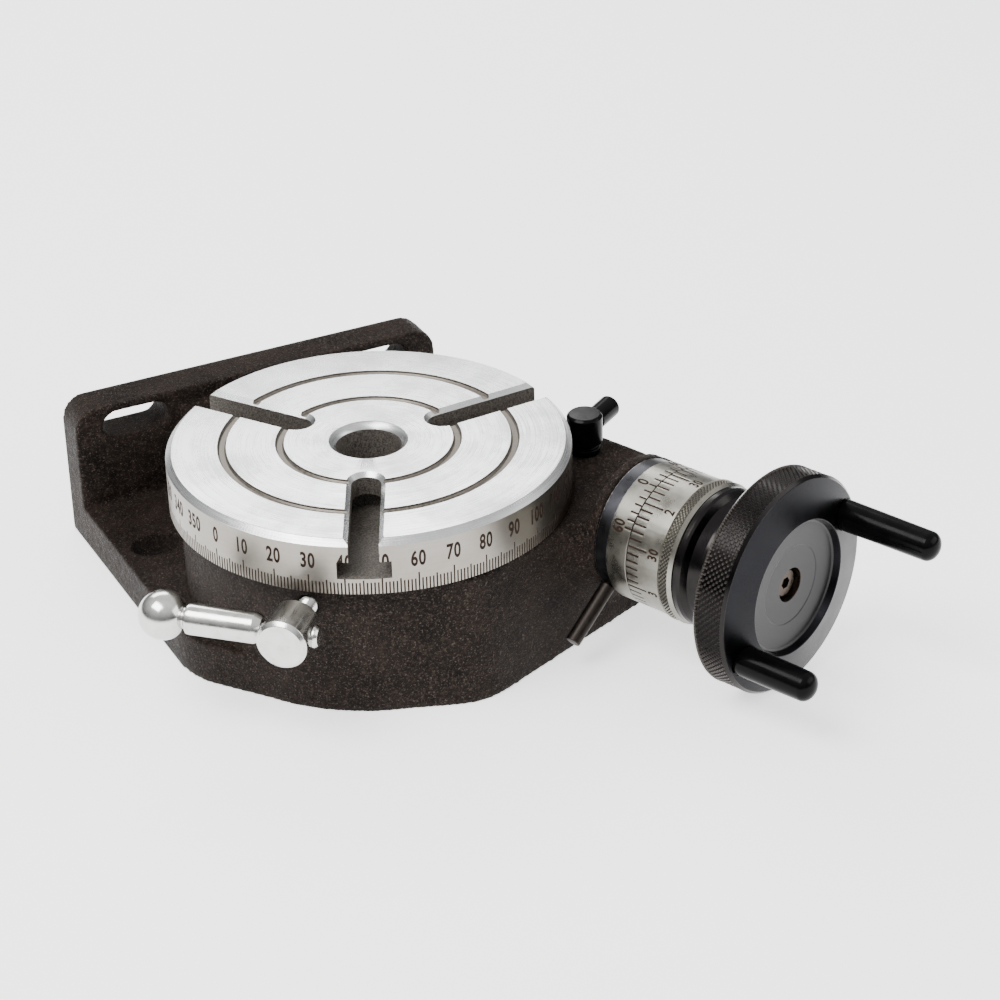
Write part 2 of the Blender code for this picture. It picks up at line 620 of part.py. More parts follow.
def make_handwheel(worm_axis, mats):
    r = HANDWHEEL_R
    c = 0.9 * MM
    face, back = WHEEL_FACE_T, WHEEL_BACK_T
    profile = [(4.7 * MM, face - 0.6 * MM), (18.1 * MM, face), (18.9 * MM, face + WHEEL_CROWN),
               (r - c, face), (r, face - c), (r, back + c), (r - c, back), (25 * MM, back),
               (23.5 * MM, back + 2.5 * MM), (17.5 * MM, back + 2.5 * MM), (16.8 * MM, 95 * MM),
               (18.6 * MM, 89.6 * MM), (19.3 * MM, 88.6 * MM), (19.3 * MM, HUB_T),
               (8.7 * MM, HUB_T), (8.7 * MM, 73.5 * MM), (3.7 * MM, 73.5 * MM),
               (3.7 * MM, 108.3 * MM), (4.7 * MM, 108.3 * MM)]
    wheel = turned("handwheel", profile, ROUND)
    key_way = box("key_way", (2.5 * MM, -1.2 * MM, 94.8 * MM), (5.0 * MM, 1.2 * MM, 120 * MM))
    cut(wheel, as_cutter(key_way, worm_axis))
    for index, angle in enumerate(HANDLE_ANGLES, 1):
        for name, radius, low in (("hole", 2.6 * MM, 95 * MM), ("seat", HANDLE_R + GAP, face)):
            space = as_cutter(rod(f"handle_{name}_{index}", radius, low, 120 * MM, 24), worm_axis)
            space.location = (HANDLE_PITCH_R * math.cos(angle), HANDLE_PITCH_R * math.sin(angle), 0.0)
            cut(wheel, space)
    place(wheel, worm_axis, mats["black_steel"])
    washer = tube("worm_thrust_washer", 6.6 * MM, 3.7 * MM, 72.2 * MM, 73.2 * MM)
    place(washer, worm_axis, mats["steel"])
    screw = turned("handwheel_screw", [(0.0, 110 * MM), (3.6 * MM, 110 * MM), (4.1 * MM, 109.5 * MM),
                                       (4.1 * MM, 108.4 * MM), (1.9 * MM, 108.4 * MM),
                                       (1.9 * MM, 99 * MM), (0.0, 99 * MM)])
    socket = as_cutter(rod("handwheel_screw_socket", 1.7 * MM, 108.9 * MM, 112 * MM, 6), worm_axis)
    cut(screw, socket)
    place(screw, worm_axis, mats["steel"])


def make_handles(worm_axis, mat):
    """Two straight handles with domed tips, each screwed into the handwheel by its own shank."""
    r = HANDLE_R
    root = [(r, WHEEL_FACE_T + GAP), (2.3 * MM, WHEEL_FACE_T + GAP), (2.3 * MM, 105.2 * MM),
            (0.0, 105.2 * MM)]
    for index, (angle, tip) in enumerate(zip(HANDLE_ANGLES, HANDLE_TIPS_T), 1):
        dome = [(r * math.sin(a), tip - r * 0.75 * (1 - math.cos(a)))
                for a in [math.pi / 2 * i / 5 for i in range(1, 6)]]
        handle = turned(f"handle_{index}", [(0.0, tip), *dome, *root], 24)
        handle.location = (HANDLE_PITCH_R * math.cos(angle), HANDLE_PITCH_R * math.sin(angle), 0.0)
        place(handle, worm_axis, mat)


def make_engagement_lever(sleeve_axis, worm_axis, mat):
    lever = rod("engagement_lever", 2.1 * MM, 19.3 * MM, 37.8 * MM, 20, 0.5 * MM)
    shank = as_cutter(rod("lever_shank", 1.3 * MM, 14.4 * MM, 21 * MM, 20))
    join(lever, shank)
    keep_mesh(lever)
    bpy.data.objects.remove(shank)
    station = (FLANGE_T[0] + FLANGE_T[1]) / 2
    frame = Matrix.Translation(sleeve_offset() + Vector((0, 0, station)))
    frame = frame @ Matrix.Rotation(math.radians(215), 4, 'Z') @ Matrix.Rotation(math.pi / 2, 4, 'Y')
    lever.data.transform(frame)
    place(lever, sleeve_axis, mat)


# ---------------------------------------------------------------- clamps and stops

def make_sleeve_lock(root, mats):
    """The black knob with its side handle, and the pad that it drives against the sleeve."""
    spot = (*worm_to_table(LOCK_T, LOCK_P), 0.0)
    axis = empty("sleeve_lock_axis", root, Matrix.Translation(spot))
    profile = [(0, 50.6), (4.4, 50.6), (5.0, 50.1), (5.0, 42.4), (4.3, 41.6), (3.6, 41.4),
               (3.6, 40.8), (4.3, 40.6), (4.3, 39.0), (3.2, 39.0), (3.2, 31.4), (0, 31.4)]
    knob = turned("sleeve_lock_screw", [(r * MM, z * MM) for r, z in profile], 32)
    side = empty("lock_handle_axis", axis, Matrix.Translation((0, 0, 46 * MM))
                 @ Matrix.Rotation(LOCK_HANDLE_ANGLE, 4, 'Z') @ Matrix.Rotation(math.pi / 2, 4, 'Y'))
    cut(knob, as_cutter(rod("lock_handle_hole", 1.9 * MM, 1.5 * MM, 8 * MM, 16), side))
    place(knob, axis, mats["black_plastic"])
    handle = turned("sleeve_lock_handle", [(0, 15.2 * MM), (2.6 * MM, 15.2 * MM), (3.2 * MM, 14.6 * MM),
                                           (3.2 * MM, 5.4 * MM), (1.6 * MM, 5.4 * MM),
                                           (1.6 * MM, 1.9 * MM), (0, 1.9 * MM)], 24)
    keep_mesh(handle)
    handle.data.transform(Matrix.Translation((0, 0, 46 * MM))
                          @ Matrix.Rotation(LOCK_HANDLE_ANGLE, 4, 'Z')
                          @ Matrix.Rotation(math.pi / 2, 4, 'Y'))
    place(handle, axis, mats["black_plastic"])
    pad = rod("sleeve_lock_pad", 3.2 * MM, 19.8 * MM, 31.0 * MM)
    pad.location = spot
    place(pad, root, mats["brass"])


def make_table_clamp(root, mats):
    """The ball-ended clamp lever: screw, hub, arm and the shoe that grips the table's ring."""
    axis = empty("clamp_axis", root, facing(CLAMP_HEADING, CLAMP_Z))
    screw = rod("clamp_screw", 2.6 * MM, 47.6 * MM, 62.6 * MM, 24, 0.4 * MM)
    place(screw, axis, mats["plated"])
    face = CLAMP_FACE_R
    hub_profile = [(0.0, face), (5.9 * MM, face), (6.9 * MM, face - 1.0 * MM), (6.9 * MM, 60.6 * MM),
                   (5.9 * MM, 59.6 * MM), (0.0, 59.6 * MM)]
    hub = turned("clamp_hub", hub_profile, 48)
    cut(hub, as_cutter(rod("hub_tapped_hole", 2.9 * MM, 55 * MM, 63 * MM), axis))
    arm_frame = Matrix.Translation((0, 0, CLAMP_ARM_R)) @ Matrix.Rotation(-math.pi / 2, 4, 'Y')
    arm_axis = empty("clamp_arm_axis", axis, arm_frame)
    cut(hub, as_cutter(rod("hub_cross_hole", 2.1 * MM, -12 * MM, 12 * MM), arm_axis))
    place(hub, axis, mats["plated"])
    ball_r, ball_x = 6.7 * MM, 34.8 * MM
    ball = [(ball_r * math.sin(a), ball_x + ball_r * math.cos(a))
            for a in [math.radians(18 * i) for i in range(1, 8)]]
    arm_profile = [(0.0, ball_x + ball_r), *ball, (2.9 * MM, 29.0 * MM), (4.1 * MM, 27.6 * MM),
                   (4.2 * MM, 26.6 * MM), (4.2 * MM, 9.2 * MM), (3.2 * MM, 7.2 * MM),
                   (1.8 * MM, 7.2 * MM), (1.8 * MM, -8.2 * MM), (0.0, -8.2 * MM)]
    arm = turned("clamp_arm", arm_profile, 32)
    keep_mesh(arm)
    arm.data.transform(arm_frame)
    place(arm, axis, mats["plated"])
    shoe = box("clamp_shoe", (-3.7 * MM, -3.3 * MM, 41.9 * MM), (3.7 * MM, 8.2 * MM, 47.0 * MM))
    place(shoe, empty("clamp_shoe_axis", root, facing(CLAMP_HEADING, CLAMP_Z)), mats["brass"])


def make_stop_screw(root, mat):
    """A dog-point screw whose tip sits in the sleeve's part groove: it keeps the sleeve in place."""
    axis = bpy.data.objects["stop_screw_axis"]
    screw = turned("sleeve_stop_screw", [(0.0, 12.0 * MM), (2.0 * MM, 12.0 * MM), (2.0 * MM, 1.6 * MM),
                                         (1.6 * MM, 1.4 * MM), (1.6 * MM, -1.9 * MM),
                                         (0.0, -1.9 * MM)], 16)
    cut(screw, as_cutter(rod("stop_screw_socket", 1.0 * MM, 9.5 * MM, 14 * MM, 6), axis))
    place(screw, axis, mat)


# ---------------------------------------------------------------- assembly

def make_materials():
    return {
        "casting": material("painted_casting", (0.020, 0.017, 0.016), 0.75, 0.0),
        "ground": material("ground_steel", (0.62, 0.61, 0.59), 0.28, 1.0),
        "dial": material("satin_steel", (0.66, 0.64, 0.60), 0.35, 1.0),
        "steel": material("turned_steel", (0.45, 0.45, 0.45), 0.35, 1.0),
        "bright_steel": material("bright_steel", (0.55, 0.55, 0.55), 0.25, 1.0),
        "plated": material("bright_plating", (0.78, 0.78, 0.77), 0.15, 1.0),
        "brass": material("bronze", (0.55, 0.36, 0.16), 0.40, 1.0),
        "black_steel": material("black_steel", (0.05, 0.05, 0.055), 0.35, 0.8),
        "black_plastic": material("black_handle", (0.012, 0.012, 0.014), 0.18, 0.0),
    }


def build():
    clear_scene()
    mats = make_materials()
    root = empty("rotary_table_origin", None, Matrix.Translation(BOX_CENTRE_SHIFT))
    worm_frame = facing(WORM_HEADING, WORM_Z)
    shift = worm_frame.to_3x3() @ Vector((CENTRE_DISTANCE, 0.0, 0.0))
    worm_frame.translation += shift
    worm_axis = empty("worm_axis", root, worm_frame)
    sleeve_axis = empty("sleeve_axis", root, worm_frame @ Matrix.Translation(-sleeve_offset()))
    table_axis = empty("table_axis", root)
    make_base(root, worm_axis, sleeve_axis, mats["casting"])
    make_table(table_axis, mats["ground"])
    make_worm_wheel(table_axis, mats["brass"])
    make_wheel_screws(table_axis, mats["black_steel"])
    make_spindle_parts(root, table_axis, mats)
    make_sleeve(sleeve_axis, worm_axis, mats)
    make_worm_shaft(worm_axis, mats)
    make_bushes(sleeve_axis, worm_axis, mats)
    make_dials(sleeve_axis, worm_axis, mats)
    make_handwheel(worm_axis, mats)
    make_handles(worm_axis, mats["black_plastic"])
    make_engagement_lever(sleeve_axis, worm_axis, mats["black_steel"])
    make_sleeve_lock(root, mats)
    make_table_clamp(root, mats)
    make_stop_screw(root, mats["black_steel"])


build()
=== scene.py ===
"""Looks for the rotary table: every visible piece in detail, on the bodies of the CAD frame."""
import json
import math

import bmesh
import bpy
from mathutils import Matrix, Vector, noise

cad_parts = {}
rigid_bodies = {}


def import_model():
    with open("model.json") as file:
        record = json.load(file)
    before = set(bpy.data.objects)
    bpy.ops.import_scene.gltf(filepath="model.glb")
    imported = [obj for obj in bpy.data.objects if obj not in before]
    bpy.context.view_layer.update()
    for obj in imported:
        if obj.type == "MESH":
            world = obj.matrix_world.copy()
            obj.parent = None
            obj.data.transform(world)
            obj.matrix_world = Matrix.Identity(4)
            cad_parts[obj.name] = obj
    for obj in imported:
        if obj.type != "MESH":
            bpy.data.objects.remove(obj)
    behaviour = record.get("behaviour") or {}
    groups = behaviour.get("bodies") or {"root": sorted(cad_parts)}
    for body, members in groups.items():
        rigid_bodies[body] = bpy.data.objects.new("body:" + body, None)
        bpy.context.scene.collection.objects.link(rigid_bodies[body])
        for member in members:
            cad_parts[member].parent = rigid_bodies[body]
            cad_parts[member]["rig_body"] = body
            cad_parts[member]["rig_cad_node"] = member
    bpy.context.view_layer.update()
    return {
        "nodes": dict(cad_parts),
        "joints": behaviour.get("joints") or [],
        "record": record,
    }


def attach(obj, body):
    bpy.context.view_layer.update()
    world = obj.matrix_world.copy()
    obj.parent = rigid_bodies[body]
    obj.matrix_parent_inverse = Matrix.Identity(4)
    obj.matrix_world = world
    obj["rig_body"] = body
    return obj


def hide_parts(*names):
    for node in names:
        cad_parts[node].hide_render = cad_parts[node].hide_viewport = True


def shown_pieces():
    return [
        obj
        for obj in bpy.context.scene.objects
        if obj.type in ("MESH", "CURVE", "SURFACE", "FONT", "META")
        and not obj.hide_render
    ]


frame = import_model()
MM = 0.001
UP = Vector((0.0, 0.0, 1.0))
JOINTS = {joint["name"]: joint for joint in frame["joints"]}


# ---------------------------------------------------------------- frames

def joint_frame(name):
    """The joint's place, and a turn with Z along its axis and Y as near to upright as it can be."""
    joint = JOINTS[name]
    z = Vector(joint["axis"]).normalized()
    y = (UP - z * z.dot(UP)).normalized()
    return Vector(joint["pos_m"]), Matrix((y.cross(z), y, z)).transposed().to_4x4()


def build_frames():
    """Placements of the table's axis, the worm's, the sleeve's, the clamp's and the lock's.

    The upright axes start at the floor. The level ones start where they pass the table's axis.
    """
    table = Vector(JOINTS["table_turn"]["pos_m"])
    centre = Vector((table.x, table.y, 0.0))
    frames = {"table": Matrix.Translation(centre)}
    level = (("worm", "handwheel_turn"), ("sleeve", "sleeve_turn"), ("clamp", "clamp_turn"))
    for key, name in level:
        pos, turn = joint_frame(name)
        along = turn.col[2].xyz
        foot = pos - along * (pos - centre).dot(along)
        frames[key] = Matrix.Translation(foot) @ turn
    lock = Vector(JOINTS["sleeve_lock_turn"]["pos_m"])
    frames["lock"] = Matrix.Translation((lock.x, lock.y, 0.0))
    return frames


FRAMES = build_frames()
TABLE_CENTRE = FRAMES["table"].col[3].xyz


def in_mm(points):
    """(radius, height) pairs written in millimetres, as metres."""
    return [(a * MM, b * MM) for a, b in points]


# ---------------------------------------------------------------- materials

class Nodes:
    """A material's node tree, with short calls for the nodes used here."""

    def __init__(self, name, metallic=0.0, roughness=0.5):
        self.mat = bpy.data.materials.new(name)
        self.mat.use_nodes = True
        self.tree = self.mat.node_tree
        self.shader = self.tree.nodes["Principled BSDF"]
        self.shader.inputs["Metallic"].default_value = metallic
        self.shader.inputs["Roughness"].default_value = roughness

    def node(self, kind, inputs=None, **settings):
        """A new node. Each input is another node's socket or a plain value."""
        made = self.tree.nodes.new(kind)
        for key, value in settings.items():
            setattr(made, key, value)
        for key, value in (inputs or {}).items():
            if isinstance(value, bpy.types.NodeSocket):
                self.tree.links.new(value, made.inputs[key])
            else:
                made.inputs[key].default_value = value
        return made

    def set(self, socket, value):
        """Give the shader's own socket a link or a value."""
        if isinstance(value, bpy.types.NodeSocket):
            self.tree.links.new(value, self.shader.inputs[socket])
        else:
            self.shader.inputs[socket].default_value = value

    def coords(self):
        return self.node("ShaderNodeTexCoord").outputs["Object"]

    def math(self, operation, a, b=0.0):
        return self.node("ShaderNodeMath", {0: a, 1: b}, operation=operation).outputs[0]

    def noise(self, vector, scale, detail=4.0, roughness=0.55):
        made = self.node("ShaderNodeTexNoise", {"Vector": vector, "Scale": scale, "Detail": detail,
                                                "Roughness": roughness})
        return made.outputs["Fac"]

    def ramp(self, factor, low, high, start=0.0, end=1.0):
        """A colour or a number that goes from low to high as the factor goes from start to end."""
        mapped = self.node("ShaderNodeMapRange",
                           {"Value": factor, "From Min": start, "From Max": end})
        if not isinstance(low, tuple):
            mapped.inputs["To Min"].default_value = low
            mapped.inputs["To Max"].default_value = high
            return mapped.outputs["Result"]
        mix = self.node("ShaderNodeMix", {"Factor": mapped.outputs["Result"]}, data_type="RGBA")
        mix.inputs[6].default_value = (*low, 1.0)
        mix.inputs[7].default_value = (*high, 1.0)
        return mix.outputs[2]

    def mix(self, factor, low, high):
        """A colour between low and high. Either may be another node's colour."""
        made = self.node("ShaderNodeMix", {"Factor": factor}, data_type="RGBA")
        for socket, value in ((6, low), (7, high)):
            if isinstance(value, bpy.types.NodeSocket):
                self.tree.links.new(value, made.inputs[socket])
            else:
                made.inputs[socket].default_value = (*value, 1.0)
        return made.outputs[2]

    def bump(self, height, strength, distance):
        made = self.node("ShaderNodeBump",
                         {"Height": height, "Strength": strength, "Distance": distance})
        self.set("Normal", made.outputs["Normal"])


def polar(nodes, centre):
    """Distance from a vertical axis through centre, and the angle round it."""
    local = nodes.node("ShaderNodeVectorMath", {0: nodes.coords(), 1: tuple(centre)},
                       operation="SUBTRACT").outputs[0]
    split = nodes.node("ShaderNodeSeparateXYZ", {0: local}).outputs
    radius = nodes.math("SQRT", nodes.math("ADD", nodes.math("MULTIPLY", split[0], split[0]),
                                           nodes.math("MULTIPLY", split[1], split[1])))
    angle = nodes.math("ARCTAN2", split[1], split[0])
    return radius, angle, split[2]


def turned_lines(nodes, radius, angle, height):
    """Fine tool marks: noise that changes quickly across the cut and slowly round it."""
    around = nodes.math("MULTIPLY", angle, 0.0008)
    vector = nodes.node("ShaderNodeCombineXYZ", {0: radius, 1: around, 2: height}).outputs[0]
    return nodes.noise(vector, 2600.0, 3.0, 0.6)


def casting_paint():
    """Thin dark paint over rough sand-cast iron."""
    n = Nodes("casting_paint", 0.0, 0.6)
    where = n.coords()
    grit = n.noise(where, 1000.0, 6.0, 0.80)
    patch = n.noise(where, 75.0, 4.0, 0.65)
    speck = n.noise(where, 2050.0, 3.0, 0.65)
    base = n.ramp(patch, (0.0040, 0.0026, 0.0020), (0.0150, 0.0100, 0.0078), 0.38, 0.66)
    base = n.mix(n.ramp(grit, 0.0, 0.9, 0.49, 0.61), base, (0.044, 0.031, 0.0245))
    base = n.mix(n.ramp(speck, 0.0, 0.80, 0.575, 0.67), base, (0.115, 0.093, 0.080))
    n.set("Base Color", base)
    n.set("Roughness", n.ramp(grit, 0.30, 0.80, 0.35, 0.7))
    height = n.math("ADD", grit, n.math("MULTIPLY", speck, 0.5))
    n.bump(height, 1.0, 0.0007)
    n.set("Specular IOR Level", 0.08)
    return n.mat


def ground_steel(name, colour, rough, stain, spread):
    """Bright turned steel: rings of fine tool marks round the table's axis, with faint stains.

    The roughness changes by spread from one mark to another.
    """
    n = Nodes(name, 1.0, rough)
    radius, angle, height = polar(n, TABLE_CENTRE)
    marks = turned_lines(n, radius, angle, height)
    cloud = n.noise(n.coords(), 38.0, 6.0, 0.65)
    spots = n.noise(n.coords(), 240.0, 5.0, 0.7)
    base = n.mix(n.ramp(cloud, 0.0, 0.65, 0.43, 0.66), colour, stain)
    base = n.mix(n.ramp(spots, 0.0, 0.35, 0.55, 0.75), base, stain)
    base = n.mix(n.ramp(marks, 0.0, 0.35, 0.45, 0.75), base, tuple(c * 0.78 for c in colour))
    n.set("Base Color", base)
    both = n.math("ADD", marks, n.math("MULTIPLY", cloud, 0.6))
    n.set("Roughness", n.ramp(both, rough - 0.3 * spread, rough + 0.7 * spread, 0.55, 1.1))
    n.set("Anisotropic", 0.45)
    n.set("Tangent", n.node("ShaderNodeTangent", direction_type="RADIAL", axis="Z").outputs[0])
    n.bump(marks, 0.12, 0.00003)
    return n.mat


def plain_metal(name, colour, rough, spread=0.10, scale=220.0, metallic=1.0, bump=0.12,
                span=(0.3, 0.65)):
    """Machined metal with a fine, even finish and slight changes of tone.

    The tone falls by 1.6 times spread where the noise is below span.
    """
    n = Nodes(name, metallic, rough)
    where = n.coords()
    cloud = n.noise(where, scale, 5.0, 0.6)
    fine = n.noise(where, 5200.0, 2.0, 0.5)
    darker = tuple(c * (1 - 1.6 * spread) for c in colour)
    n.set("Base Color", n.ramp(cloud, darker, colour, *span))
    both = n.math("ADD", cloud, n.math("MULTIPLY", fine, 0.4))
    n.set("Roughness", n.ramp(both, rough - spread / 2, rough + spread, 0.4, 1.0))
    n.bump(fine, bump, 0.00003)
    return n.mat


def gloss_black(name, colour, rough):
    """Smooth black plastic with slight changes of gloss."""
    n = Nodes(name, 0.0, rough)
    where = n.coords()
    cloud = n.noise(where, 160.0, 4.0, 0.6)
    n.set("Base Color", n.ramp(cloud, colour, tuple(c * 1.8 for c in colour), 0.35, 0.7))
    n.set("Roughness", n.ramp(cloud, rough, rough + 0.12, 0.4, 0.75))
    n.set("Specular IOR Level", 0.07)
    n.bump(n.noise(where, 900.0, 3.0, 0.5), 0.08, 0.00005)
    return n.mat


def engraving():
    """Dark brown fill in the cut lines and numbers."""
    n = Nodes("engraving_fill", 0.0, 0.65)
    cloud = n.noise(n.coords(), 900.0, 4.0, 0.6)
    n.set("Base Color", n.ramp(cloud, (0.010, 0.005, 0.003), (0.034, 0.019, 0.012), 0.35, 0.75))
    n.set("Specular IOR Level", 0.12)
    return n.mat


def make_materials():
    """Every material by a short name, with its linear colour and then its roughness."""
    return {
        "casting": casting_paint(),
        "table": ground_steel("ground_table", (0.60, 0.605, 0.61), 0.25, (0.33, 0.335, 0.335),
                              0.20),
        # the rim: the top's ground steel at about half the brightness, painted shade on the table's
        # side
        "rim": ground_steel("ground_rim_painted_shade", (0.30, 0.282, 0.252), 0.29, (0.235, 0.21, 0.18), 0.06),
        "slot": plain_metal("milled_slot", (0.16, 0.14, 0.12), 0.60, 0.50, 2500.0, 0.35, 0.9,
                            (0.40, 0.62)),
        # the table's turned rings, painted dark: painted shade in the grooves
        "groove": plain_metal("turned_groove_painted_shade", (0.20, 0.18, 0.155), 0.42, 0.30, 1200.0),
        "dial": plain_metal("satin_dial", (0.29, 0.278, 0.243), 0.27, 0.18, 140.0),
        "steel": plain_metal("turned_steel", (0.20, 0.195, 0.19), 0.30),
        "plated": plain_metal("bright_plating", (0.66, 0.655, 0.635), 0.17, 0.12, 300.0),
        "oxide": plain_metal("black_oxide", (0.022, 0.020, 0.020), 0.18, 0.12, 260.0),
        "oxide_face": plain_metal("black_oxide_face", (0.012, 0.012, 0.014), 0.27, 0.10, 120.0),
        "recess": plain_metal("brushed_recess", (0.036, 0.035, 0.036), 0.33, 0.08, 120.0),
        "bore": plain_metal("worn_bore", (0.085, 0.066, 0.052), 0.30, 0.3, 600.0),
        "knurl": plain_metal("knurled_oxide", (0.060, 0.053, 0.050), 0.28, 0.12, 600.0),
        "flange": plain_metal("blued_flange", (0.050, 0.050, 0.056), 0.30, 0.16, 300.0),
        "bronze": plain_metal("bronze", (0.62, 0.44, 0.22), 0.34),
        "handle": gloss_black("black_handle", (0.0012, 0.0012, 0.0014), 0.16),
        "engraving": engraving(),
        # dark brown steel for the dial knurl's grooves: painted shade in the grooves
        "groove_painted_shade": plain_metal("knurl_painted_shade", (0.045, 0.040, 0.032), 0.5, 0.3, 900.0, 0.5),
        "lever": plain_metal("lever_oxide", (0.040, 0.034, 0.030), 0.42, 0.14, 500.0),
    }


MATS = make_materials()


# ---------------------------------------------------------------- mesh helpers

SHARP = 32.0        # an edge that turns by more degrees than this is shaded sharp


def finish_mesh(name, bm, mats, matrix=None, sharp=SHARP):
    """The bmesh as a shaded object, moved by matrix."""
    mesh = bpy.data.meshes.new(name)
    bmesh.ops.recalc_face_normals(bm, faces=bm.faces)
    bm.to_mesh(mesh)
    bm.free()
    obj = bpy.data.objects.new(name, mesh)
    bpy.context.scene.collection.objects.link(obj)
    for mat in mats:
        mesh.materials.append(mat)
    if matrix is not None:
        mesh.transform(matrix)
    shade(obj, sharp)
    return obj


def shade(obj, sharp=SHARP):
    """Smooth shading that keeps sharp edges and flat faces."""
    obj.data.shade_smooth()
    obj.data.set_sharp_from_angle(angle=math.radians(sharp))
    weighted = obj.modifiers.new("normals", "WEIGHTED_NORMAL")
    weighted.keep_sharp = True


def place(obj, body, slot, *nodes):
    """Put a finished piece on its body, in place of CAD nodes."""
    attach(obj, body)
    if nodes:
        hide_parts(*nodes)


def rounded(points, radius):
    """The profile with each corner but the end ones replaced by a small arc."""
    steps = 3
    straight, tiny = math.radians(84), 1e-6
    out = [points[0]]
    for before, corner, after in zip(points, points[1:], points[2:]):
        a, b, c = (Vector(p[:2]) for p in (before, corner, after))
        to_a, to_c = a - b, c - b
        cosine = max(-1.0, min(1.0, to_a.normalized().dot(to_c.normalized())))
        half = math.acos(cosine) / 2
        reach = min(radius / max(math.tan(half), 0.05), 0.45 * to_a.length, 0.45 * to_c.length)
        if half > straight or reach < tiny:
            out.append(corner)
            continue
        for i in range(steps + 1):
            k = i / steps
            first = b + to_a.normalized() * reach * (1 - k)
            second = b + to_c.normalized() * reach * k
            out.append(tuple(first.lerp(second, k)))
    out.append(points[-1])
    return out


def lathe(name, profile, mats, matrix, steps, rounding, closed=False, paint=None):
    """A turned body about Z, from (radius, z) points with the top one first.

    A closed profile runs round a ring with a bore. paint(radius, z) picks each band's material.
    """
    if closed:
        profile = rounded(profile + profile[:2], rounding)[1:-1]
    else:
        profile = rounded(profile, rounding)
    bm = bmesh.new()
    angles = [math.tau * i / steps for i in range(steps)]
    columns = [(math.cos(a), math.sin(a)) for a in angles]
    rings = []
    for r, z in profile:
        if r < 1e-7:
            rings.append([bm.verts.new((0.0, 0.0, z))] * steps)
        else:
            rings.append([bm.verts.new((r * c, r * s, z)) for c, s in columns])
    if closed:
        rings.append(rings[0])
        profile = profile + [profile[0]]
    for k, (upper, lower) in enumerate(zip(rings, rings[1:])):
        (r0, z0), (r1, z1) = profile[k], profile[k + 1]
        index = paint((r0 + r1) / 2, (z0 + z1) / 2) if paint else 0
        for i in range(steps):
            j = (i + 1) % steps
            corners = []
            for v in (upper[i], upper[j], lower[j], lower[i]):
                if v not in corners:
                    corners.append(v)
            if len(corners) > 2:
                bm.faces.new(corners).material_index = index
    return finish_mesh(name, bm, mats, matrix)


def solid_from_grid(name, columns, profile, shape, mats, matrix, paint, sharp=SHARP):
    """A closed ring built on a grid of angles and profile points.

    shape(angle index, profile index, r) gives the radius there. paint picks a face's material.
    """
    bm = bmesh.new()
    grid = []
    for k, (r, z) in enumerate(profile):
        row = []
        for i, angle in enumerate(columns):
            radius = shape(i, k, r)
            row.append(bm.verts.new((radius * math.cos(angle), radius * math.sin(angle), z)))
        grid.append(row)
    count = len(columns)
    for k in range(len(profile)):
        upper, lower = grid[k], grid[(k + 1) % len(profile)]
        for i in range(count):
            j = (i + 1) % count
            face = bm.faces.new((upper[i], upper[j], lower[j], lower[i]))
            face.material_index = paint(i, k)
    return finish_mesh(name, bm, mats, matrix, sharp)


def loft(name, outlines, mats):
    """A closed body through outlines of equal count, each a list of (x, y, z).

    The first material goes on all but the topmost band, which gets the second.
    """
    bm = bmesh.new()
    rings = [[bm.verts.new(p) for p in outline] for outline in outlines]
    count = len(rings[0])
    for k, (lower, upper) in enumerate(zip(rings, rings[1:])):
        for i in range(count):
            j = (i + 1) % count
            face = bm.faces.new((lower[i], lower[j], upper[j], upper[i]))
            face.material_index = 1 if k and len(mats) > 1 else 0
    bm.faces.new(rings[0])
    bm.faces.new(rings[-1])
    bmesh.ops.recalc_face_normals(bm, faces=bm.faces)
    mesh = bpy.data.meshes.new(name)
    bm.to_mesh(mesh)
    bm.free()
    for mat in mats:
        mesh.materials.append(mat)
    return bpy.data.objects.new(name, mesh)


def arc(cx, cy, radius, start, end, count):
    """Points on an arc, with its angles in degrees."""
    steps = [math.radians(start + (end - start) * i / count) for i in range(count + 1)]
    return [(cx + radius * math.cos(a), cy + radius * math.sin(a)) for a in steps]


def at_height(outline, z):
    """An (x, y) outline moved up to z."""
    return [(x, y, z) for x, y in outline]


def bake(obj):
    """Apply every modifier."""
    depsgraph = bpy.context.evaluated_depsgraph_get()
    mesh = bpy.data.meshes.new_from_object(obj.evaluated_get(depsgraph))
    obj.modifiers.clear()
    obj.data = mesh


def cut(obj, cutters):
    """Cut with each cutter in turn, then remove the cutters."""
    obj.modifiers.clear()
    for cutter in cutters:
        bpy.context.scene.collection.objects.link(cutter)
        mod = obj.modifiers.new("cut", "BOOLEAN")
        mod.operation = "DIFFERENCE"
        mod.solver = "EXACT"
        mod.object = cutter
        mod.material_mode = "TRANSFER"
        weld = obj.modifiers.new("weld", "WELD")
        weld.merge_threshold = 0.002 * MM
    bake(obj)
    for cutter in cutters:
        bpy.data.objects.remove(cutter)


# ---------------------------------------------------------------- engraved marks

def engraved_columns(base_count, marks, width):
    """Angles of the grid's columns: an even spread, plus three for each engraved line.

    marks is a list of (angle, length). The middle column of each is returned with its length.
    """
    half = width / 2
    middles = [(angle % math.tau, length) for angle, length in marks]
    angles = {}
    for angle, length in middles:
        angles[angle] = length
        for side in (angle - half, angle + half):
            angles[side % math.tau] = None
    near = sorted(angles)
    for i in range(base_count):
        angle = math.tau * i / base_count
        if all(abs((angle - other + math.pi) % math.tau - math.pi) > half * 1.3 for other in near):
            angles[angle] = None
    ordered = sorted(angles)
    return ordered, [angles[a] for a in ordered]


